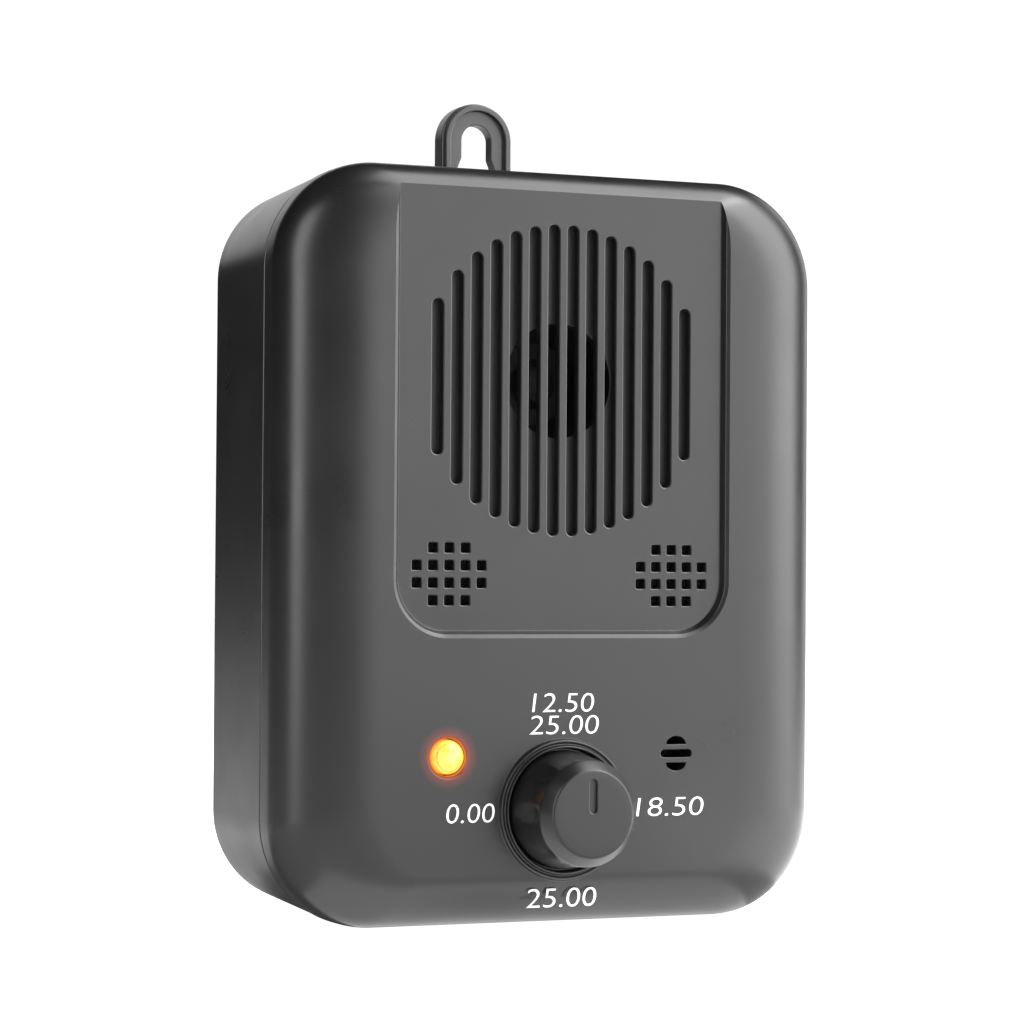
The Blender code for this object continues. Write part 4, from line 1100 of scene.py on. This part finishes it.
def microphone():
    """An electret capsule, with black felt over its sound hole, in a rubber boot."""
    radius = 4.85
    front = 4.2
    can = rod_profile(radius, front, 9.4, 0.3)
    capsule = turned("microphone_capsule", can, MICROPHONE_X, SIGNAL_Z)
    capsule.data.materials.append(FINISHES["foam"])
    for face in capsule.data.polygons:
        if face.center.y < (FRONT_Y + front + 0.02) * MM:
            face.material_index = 1
    inner = radius + GAP
    boot = [(3.2, 2.9), (inner + 1.3, 2.9), (inner + 1.3, 8.4), (inner, 8.4)]
    boot += [(inner, 3.9), (3.2, 3.9)]
    turned("microphone_boot", soften(boot, 0.25, closed=True), MICROPHONE_X, SIGNAL_Z)


def foam_block(node, edge):
    """A cut block of foam with soft edges."""
    low, high = box(node)
    outline = boxed(low.x, high.x, low.z, high.z, 2 * edge)
    profile = slab_profile(low.y - FRONT_Y, high.y - FRONT_Y, edge, 3 * edge)
    stand_for(fine(node, fresh(add_sweep, outline, profile)), node)


# ---------------------------------------------------------------- tweeter


def tweeter():
    face = FRONT_WALL + GAP
    wall = 21.5
    can = wall - 1.5
    flange = 24.6
    profile = [
        (THROAT_RADIUS, face),
        (flange, face),
        (flange, face + 2),
        (wall, face + 2),
        (wall, 15),
        (can, 15),
        (can, face + 2),
        (THROAT_RADIUS, face + 2),
    ]
    horn_frame = fine("tweeter_frame", fresh(add_turned, soften(profile, 0.25, closed=True), 0, GRILLE_Z))
    arms = bmesh.new()
    holes = bmesh.new()
    for angle, (x, z) in zip(TWEETER_ANGLES, TWEETER_POSTS):
        add_arm(arms, angle, can + 0.7, TWEETER_POST_RADIUS, 2.6, 6.9, 8.9)
        add_turned(holes, rod_profile(1.3, 6, 10), x, z, 24)
    join(horn_frame, arms)
    cut(horn_frame, holes)
    stand_for(horn_frame, "tweeter_frame")
    horn = [(THROAT_RADIUS + 0.4, 5.2), (THROAT_RADIUS + 1.6, 5.2)]
    horn += [(7.2, 11.8), (6.0, 11.8)]
    turned("tweeter_horn", soften(horn, 0.3, closed=True), 0, GRILLE_Z)
    cone = [(0, 10.6), (2.6, 11.4), (3.6, 12.6), (can - GAP, 12.6)]
    cone += [(can - GAP, 13.1), (0, 13.1)]
    turned("tweeter_diaphragm", soften(cone, 0.4), 0, GRILLE_Z)
    turned("piezo_disc", rod_profile(12.5, 13.4, 14.0, 0.1), 0, GRILLE_Z)
    gasket = tube_profile(16, can - GAP, 13.4, 15, 0.3)
    turned("tweeter_gasket", gasket, 0, GRILLE_Z)
    cover = [(0, 19.4), (18.5, 19.4), (19.2, 15.3), (wall, 15.3)]
    cover += [(wall - 0.8, 21), (0, 21)]
    turned("tweeter_cover", soften(cover, 0.4), 0, GRILLE_Z)


def add_arm(mesh, angle, start, stop, half_width, front, back):
    along = (math.cos(angle), math.sin(angle))
    outline = []
    end = arc(stop, 0, half_width, half_width, -90, 90, 16)
    for x, z in [(start, -half_width), *end, (start, half_width)]:
        outline.append((x * along[0] - z * along[1], GRILLE_Z + x * along[1] + z * along[0]))
    add_prism(mesh, outline, front, back)


# ---------------------------------------------------------------- battery, leads, screws


def battery():
    low, high = box("battery_9v")
    centre_depth = (low.y + high.y) / 2 - FRONT_Y
    z = (low.z + high.z) / 2
    face = low.x + 2.1
    section = boxed(low.y - FRONT_Y, high.y - FRONT_Y, low.z, high.z, 2.6, 8)
    crimp = 0.25
    profile = [(-2.2, face), (-0.8, face), (-0.1, face + 0.3), (-0.05, face + 1.0)]
    profile += [(-crimp, face + 1.25), (-crimp, face + 1.5), (0, face + 1.8), (0, high.x - 1.4)]
    profile += [(-crimp, high.x - 1.2), (-crimp, high.x - 0.9), (0, high.x - 0.6)]
    profile += [(-0.2, high.x - 0.1), (-0.8, high.x), (-2.2, high.x)]
    cell = fine("battery_9v", fresh(add_sweep, section, profile, sideways))
    studs = bmesh.new()
    sizes = ((6.35, 2.9), (-6.35, 4.0))
    for offset, radius in sizes:
        stud = circle(centre_depth, z + offset, radius)
        add_sweep(studs, stud, [(-0.2, low.x), (0, low.x + 0.2), (0, face + 1)], sideways)
    join(cell, studs)
    stand_for(cell, "battery_9v")
    low, high = box("battery_snap")
    section = boxed(low.y - FRONT_Y, high.y - FRONT_Y, low.z, high.z, 3.2, 8)
    profile = slab_profile(low.x, high.x, 0.7, 2)
    snap = fine("battery_snap", fresh(add_sweep, section, profile, sideways))
    bores = bmesh.new()
    for offset, radius in sizes:
        bore = circle(centre_depth, z + offset, radius + GAP)
        add_sweep(bores, bore, [(0, face - 2.4), (0, face + 1)], sideways)
    cut(snap, bores)
    stand_for(snap, "battery_snap")


def circle(a, b, radius):
    def outline(growth):
        return arc(a, b, radius + growth, radius + growth, 0, 360, 32)[:-1]

    return outline


def smooth_route(points, per_span=8):
    """Points along a smooth curve through the route's own points (Catmull-Rom)."""
    padded = [points[0]] + list(points) + [points[-1]]
    route = []
    for a, b, c, d in zip(padded, padded[1:], padded[2:], padded[3:]):
        for step in range(per_span):
            t = step / per_span
            curve = b * 2 + (c - a) * t + (a * 2 - b * 5 + c * 4 - d) * t**2
            route.append((curve + (b * 3 - a - c * 3 + d) * t**3) / 2)
    route.append(points[-1])
    return route


def lead(node, route):
    data = bpy.data.curves.new(f"fine_{node}", "CURVE")
    data.dimensions = "3D"
    data.bevel_depth = 0.65 * MM
    data.bevel_resolution = 4
    data.use_fill_caps = True
    points = smooth_route([place(x, depth, z) for x, depth, z in route])
    spline = data.splines.new("POLY")
    spline.points.add(len(points) - 1)
    for point, position in zip(spline.points, points):
        point.co = (*position, 1.0)
    spline.use_smooth = True
    data.materials.append(FINISHES[SLOTS[node]])
    stand_for(shown(f"fine_{node}", data), node)


def leads():
    for colour, z, drop in (("red", 32.2, 0), ("black", 27.2, 2.6)):
        end = 35.2 - drop
        route = [(-26.8, 26.4, z), (-30.5, 26.4, z), (-33.6, 23.0, z + 1), (-34.0, 16.0, end - 1)]
        route += [(-33.4, 10.4, end), (-31.5, 9.0, end), (-27.0, 9.0, end)]
        lead(f"battery_lead_{colour}", route)
    for colour, side in (("red", -1), ("black", 1)):
        route = [(side * 4, 22.9, 69), (side * 4, 23.2, 64), (side * 3.6, 21.5, 57.8)]
        route += [(side * 2.6, 16.5, 54.6)]
        route += [(side * 1.8, 11.4, 54.4), (side * 1.6, 9.1, 52.4), (side * 1.6, 8.9, 48.0)]
        lead(f"tweeter_lead_{colour}", route)


def screws(label, head_radius, head_height, shank_radius, length):
    """Pan heads with a cross recess, each in its CAD screw's place."""
    profile = [(0, -length), (0.4 * shank_radius, -length), (shank_radius, -length + shank_radius)]
    for turn in range(int((length - 3 * shank_radius) / THREAD_PITCH)):
        start = -length + shank_radius + THREAD_PITCH * turn
        root = (0.78 * shank_radius, start + THREAD_PITCH / 2)
        profile += [(shank_radius, start), root, (shank_radius, start + THREAD_PITCH)]
    profile += [(shank_radius, -0.02)]
    head = [(shank_radius, 0), (head_radius, 0), (head_radius, 0.45 * head_height)]
    head += [(0.72 * head_radius, 0.94 * head_height), (0, head_height)]
    profile += soften(head, 0.15 * head_radius)
    tidy = [profile[0]]
    for point in profile[1:]:
        if math.dist(point, tidy[-1]) > 0.001:
            tidy.append(point)
    mesh = bmesh.new()
    add_turned(mesh, tidy, 0, 0, 48)
    bmesh.ops.translate(mesh, verts=mesh.verts, vec=-place(0, 0, 0))
    pattern = fine(f"{label}_1", mesh)
    reach, depth = 0.6 * head_radius, 0.55 * head_height
    thick = 0.2 * reach
    quarter = [(thick, thick), (thick, reach), (-thick, reach)]
    outline = []
    for turn in range(4):
        c, s = round(math.cos(turn * math.pi / 2)), round(math.sin(turn * math.pi / 2))
        outline += [(x * c - z * s, x * s + z * c) for x, z in quarter]
    recess = bmesh.new()
    rings = []
    for size, y in ((1.0, head_height + 0.5), (1.0, head_height - 0.3 * depth), (0.55, head_height - depth)):
        rings.append([Vector((x * size, y, z * size)) * MM for x, z in outline])
    add_loft(recess, rings)
    cut(pattern, recess)
    data = pattern.data
    for index in range(1, 5):
        node = f"{label}_{index}"
        screw = pattern if index == 1 else shown(f"fine_{node}", data)
        low, high = box(node)
        screw.location = Vector(((low.x + high.x) / 2, high.y - head_height, (low.z + high.z) / 2)) * MM
        stand_for(screw, node)


def fasteners():
    screws("case_screw", 2.7, 2.0, 1.2, 16)
    screws("board_screw", 2.2, 1.5, 1.0, 8)
    screws("tweeter_screw", 2.2, 1.5, 1.0, 5)


def carried_over():
    """CAD nodes that keep their shape get a fine edge and the finish of their slot."""
    for node, thing in frame["nodes"].items():
        thing.data.materials.clear()
        thing.data.materials.append(FINISHES[SLOTS[node]])
        if thing.hide_render:
            continue
        weld = thing.modifiers.new("weld", "WELD")
        weld.merge_threshold = 0.001 * MM
        edge = thing.modifiers.new("soft_edges", "BEVEL")
        edge.width = 0.12 * MM
        edge.segments = 2
        edge.limit_method = "ANGLE"
        edge.angle_limit = math.radians(40)


# ---------------------------------------------------------------- dial numbers


def dial_number(name, words, x, z, width, height):
    """Raised white ink on the front face: upright figures with a slight slant."""
    data = bpy.data.curves.new(name, "FONT")
    data.body = words
    data.size = 1.0
    data.shear = 0.1
    data.offset = -0.012
    data.align_x = "CENTER"
    data.extrude = 0.01
    data.resolution_u = 6
    drawn = shown(name, data)
    graph = bpy.context.evaluated_depsgraph_get()
    flat = bpy.data.meshes.new_from_object(drawn.evaluated_get(graph))
    bpy.data.objects.remove(drawn)
    points = [vertex.co.copy() for vertex in flat.vertices]
    low = Vector([min(point[axis] for point in points) for axis in range(3)])
    high = Vector([max(point[axis] for point in points) for axis in range(3)])
    ink = 0.05
    for vertex, point in zip(flat.vertices, points):
        share = [(point[axis] - low[axis]) / (high[axis] - low[axis]) - 0.5 for axis in range(3)]
        vertex.co = place(x + share[0] * width, -(share[2] + 0.5) * ink, z + share[1] * height)
    flat.materials.clear()
    flat.materials.append(INK)
    whole = bmesh.new()
    whole.from_mesh(flat)
    bmesh.ops.remove_doubles(whole, verts=whole.verts, dist=0.001 * MM)
    whole.to_mesh(flat)
    whole.free()
    made = shown(name, flat)
    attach(made, "case")


def dial():
    for label, words, x, z, width in (
        ("top_upper", "12.50", -0.2, 32.6, 10.0),
        ("top_lower", "25.00", 0, 29.35, 11.2),
        ("left", "0.00", -14.85, 16.7, 7.6),
        ("right", "18.50", 17.4, 17.0, 11.2),
        ("bottom", "25.00", -0.3, 4.06, 11.3),
    ):
        dial_number(f"dial_number_{label}", words, x, z, width, 2.75)


# ---------------------------------------------------------------- stage, light and camera


LAMP_DISTANCE = 1.2
TABLE_RISE = 0.2


def lamp(name, centre, size, towards, radiance):
    """A flat rectangular lamp with an even glow, which the camera doesn't see."""
    data = bpy.data.lights.new(name, "AREA")
    data.shape = "RECTANGLE"
    data.size, data.size_y = size
    data.energy = radiance * math.pi * size[0] * size[1]
    made = shown(name, data)
    made.location = centre
    made.rotation_euler = (-towards).to_track_quat("Z", "Y").to_euler()
    made.visible_camera = False


def softbox(name, azimuth, elevation, across, up, radiance):
    """A softbox that faces the object. Angles in degrees: azimuth 0 is in front, 90 to its right."""
    turn, lift = math.radians(azimuth), math.radians(elevation)
    away = Vector((math.sin(turn) * math.cos(lift), -math.cos(turn) * math.cos(lift), math.sin(lift)))
    width = 2 * LAMP_DISTANCE * math.tan(math.radians(across / 2)) * math.cos(lift)
    height = 2 * LAMP_DISTANCE * math.tan(math.radians(up / 2))
    centre = Vector((0, 0, BODY_HEIGHT / 2)) * MM + away * LAMP_DISTANCE
    lamp(name, centre, (width, height), -away, radiance)


def light_table(name, left, right, front, back, radiance):
    """A glowing panel let into the floor near the object."""
    centre = Vector(((left + right) / 2, (front + back) / 2, TABLE_RISE)) * MM
    lamp(name, centre, ((right - left) * MM, (back - front) * MM), Vector((0, 0, 1)), radiance)


def lights():
    softbox("key_front_right", 30, 26, 45, 60, 3.5)
    softbox("key_right", 65.5, 26, 34, 60, 7.0)
    softbox("top", 66, 63, 74, 32, 5.8)
    softbox("side_right", 117, 14, 26, 42, 1.5)
    softbox("left_strip", -48, 19, 18, 46, 6.0)
    softbox("back", 178, 23.5, 42, 22, 1.05)
    back_y = FRONT_Y + BODY_DEPTH
    light_table("table_right", 46, 350, -130, 130, 2.4)
    light_table("table_left", -300, -100, -100, 100, 0.2)
    light_table("table_front", -42, 34, FRONT_Y - 14, FRONT_Y + 6, 1.45)
    light_table("table_back", -120, 20, back_y + 2, back_y + 70, 0.5)


def world():
    """White to the eye; dim to the object, as a dark studio is."""
    made = bpy.data.worlds.new("studio")
    made.use_nodes = True
    tree = made.node_tree
    tree.nodes.clear()
    white = (1, 1, 1, 1)
    dim = node_of(tree, "ShaderNodeBackground", Color=white, Strength=0.03)
    bright = node_of(tree, "ShaderNodeBackground", Color=white, Strength=1.1)
    path = tree.nodes.new("ShaderNodeLightPath")
    choose = tree.nodes.new("ShaderNodeMixShader")
    out = tree.nodes.new("ShaderNodeOutputWorld")
    tree.links.new(path.outputs["Is Camera Ray"], choose.inputs["Fac"])
    tree.links.new(dim.outputs["Background"], choose.inputs[1])
    tree.links.new(bright.outputs["Background"], choose.inputs[2])
    tree.links.new(choose.outputs["Shader"], out.inputs["Surface"])
    bpy.context.scene.world = made


def floor():
    """A pale floor that reads as a white sweep to the eye, and takes its light from the lamps."""
    mesh = bmesh.new()
    half = 3.0
    drop = -0.05 * MM
    corners = ((-half, -half), (half, -half), (half, half), (-half, half))
    mesh.faces.new([mesh.verts.new(Vector((x, y, drop))) for x, y in corners])
    finish = surface("pale_floor", (0.86, 0.86, 0.86), 0.9, tint=0.01, blotch=3, strength=0.02)
    tree, shader, _ = opened(finish)
    shader.inputs["Emission Color"].default_value = (1, 1, 1, 1)
    seen = tree.nodes.new("ShaderNodeLightPath").outputs["Is Camera Ray"]
    tree.links.new(seen, shader.inputs["Emission Strength"])
    solid("floor", mesh, finish)


def camera():
    data = bpy.data.cameras.new("camera")
    data.sensor_width = 36.0
    data.lens = 113.85
    data.clip_start = 0.01
    seen_from = shown("camera", data)
    turn = Matrix.Rotation(math.radians(-23.8475), 4, "Z")
    lift = Matrix.Rotation(math.radians(90 + 1.135), 4, "X")
    lean = Matrix.Rotation(math.radians(0.4003), 4, "Z")
    seen_from.matrix_world = Matrix.Translation((-0.19958, -0.44556, 0.0511)) @ turn @ lift @ lean
    bpy.context.scene.camera = seen_from


def build():
    camera()
    front_shell()
    rear_shell()
    case_seal()
    hanging_tab()
    battery_door()
    selector_knob()
    switch_parts()
    indicator()
    microphone()
    for pad, edge in (("vent_pad_left", 0.2), ("vent_pad_right", 0.2), ("battery_pad", 0.4)):
        foam_block(pad, edge)
    tweeter()
    battery()
    leads()
    fasteners()
    carried_over()
    dial()
    lights()
    world()
    floor()
    bpy.context.scene.view_settings.view_transform = "Standard"


build()
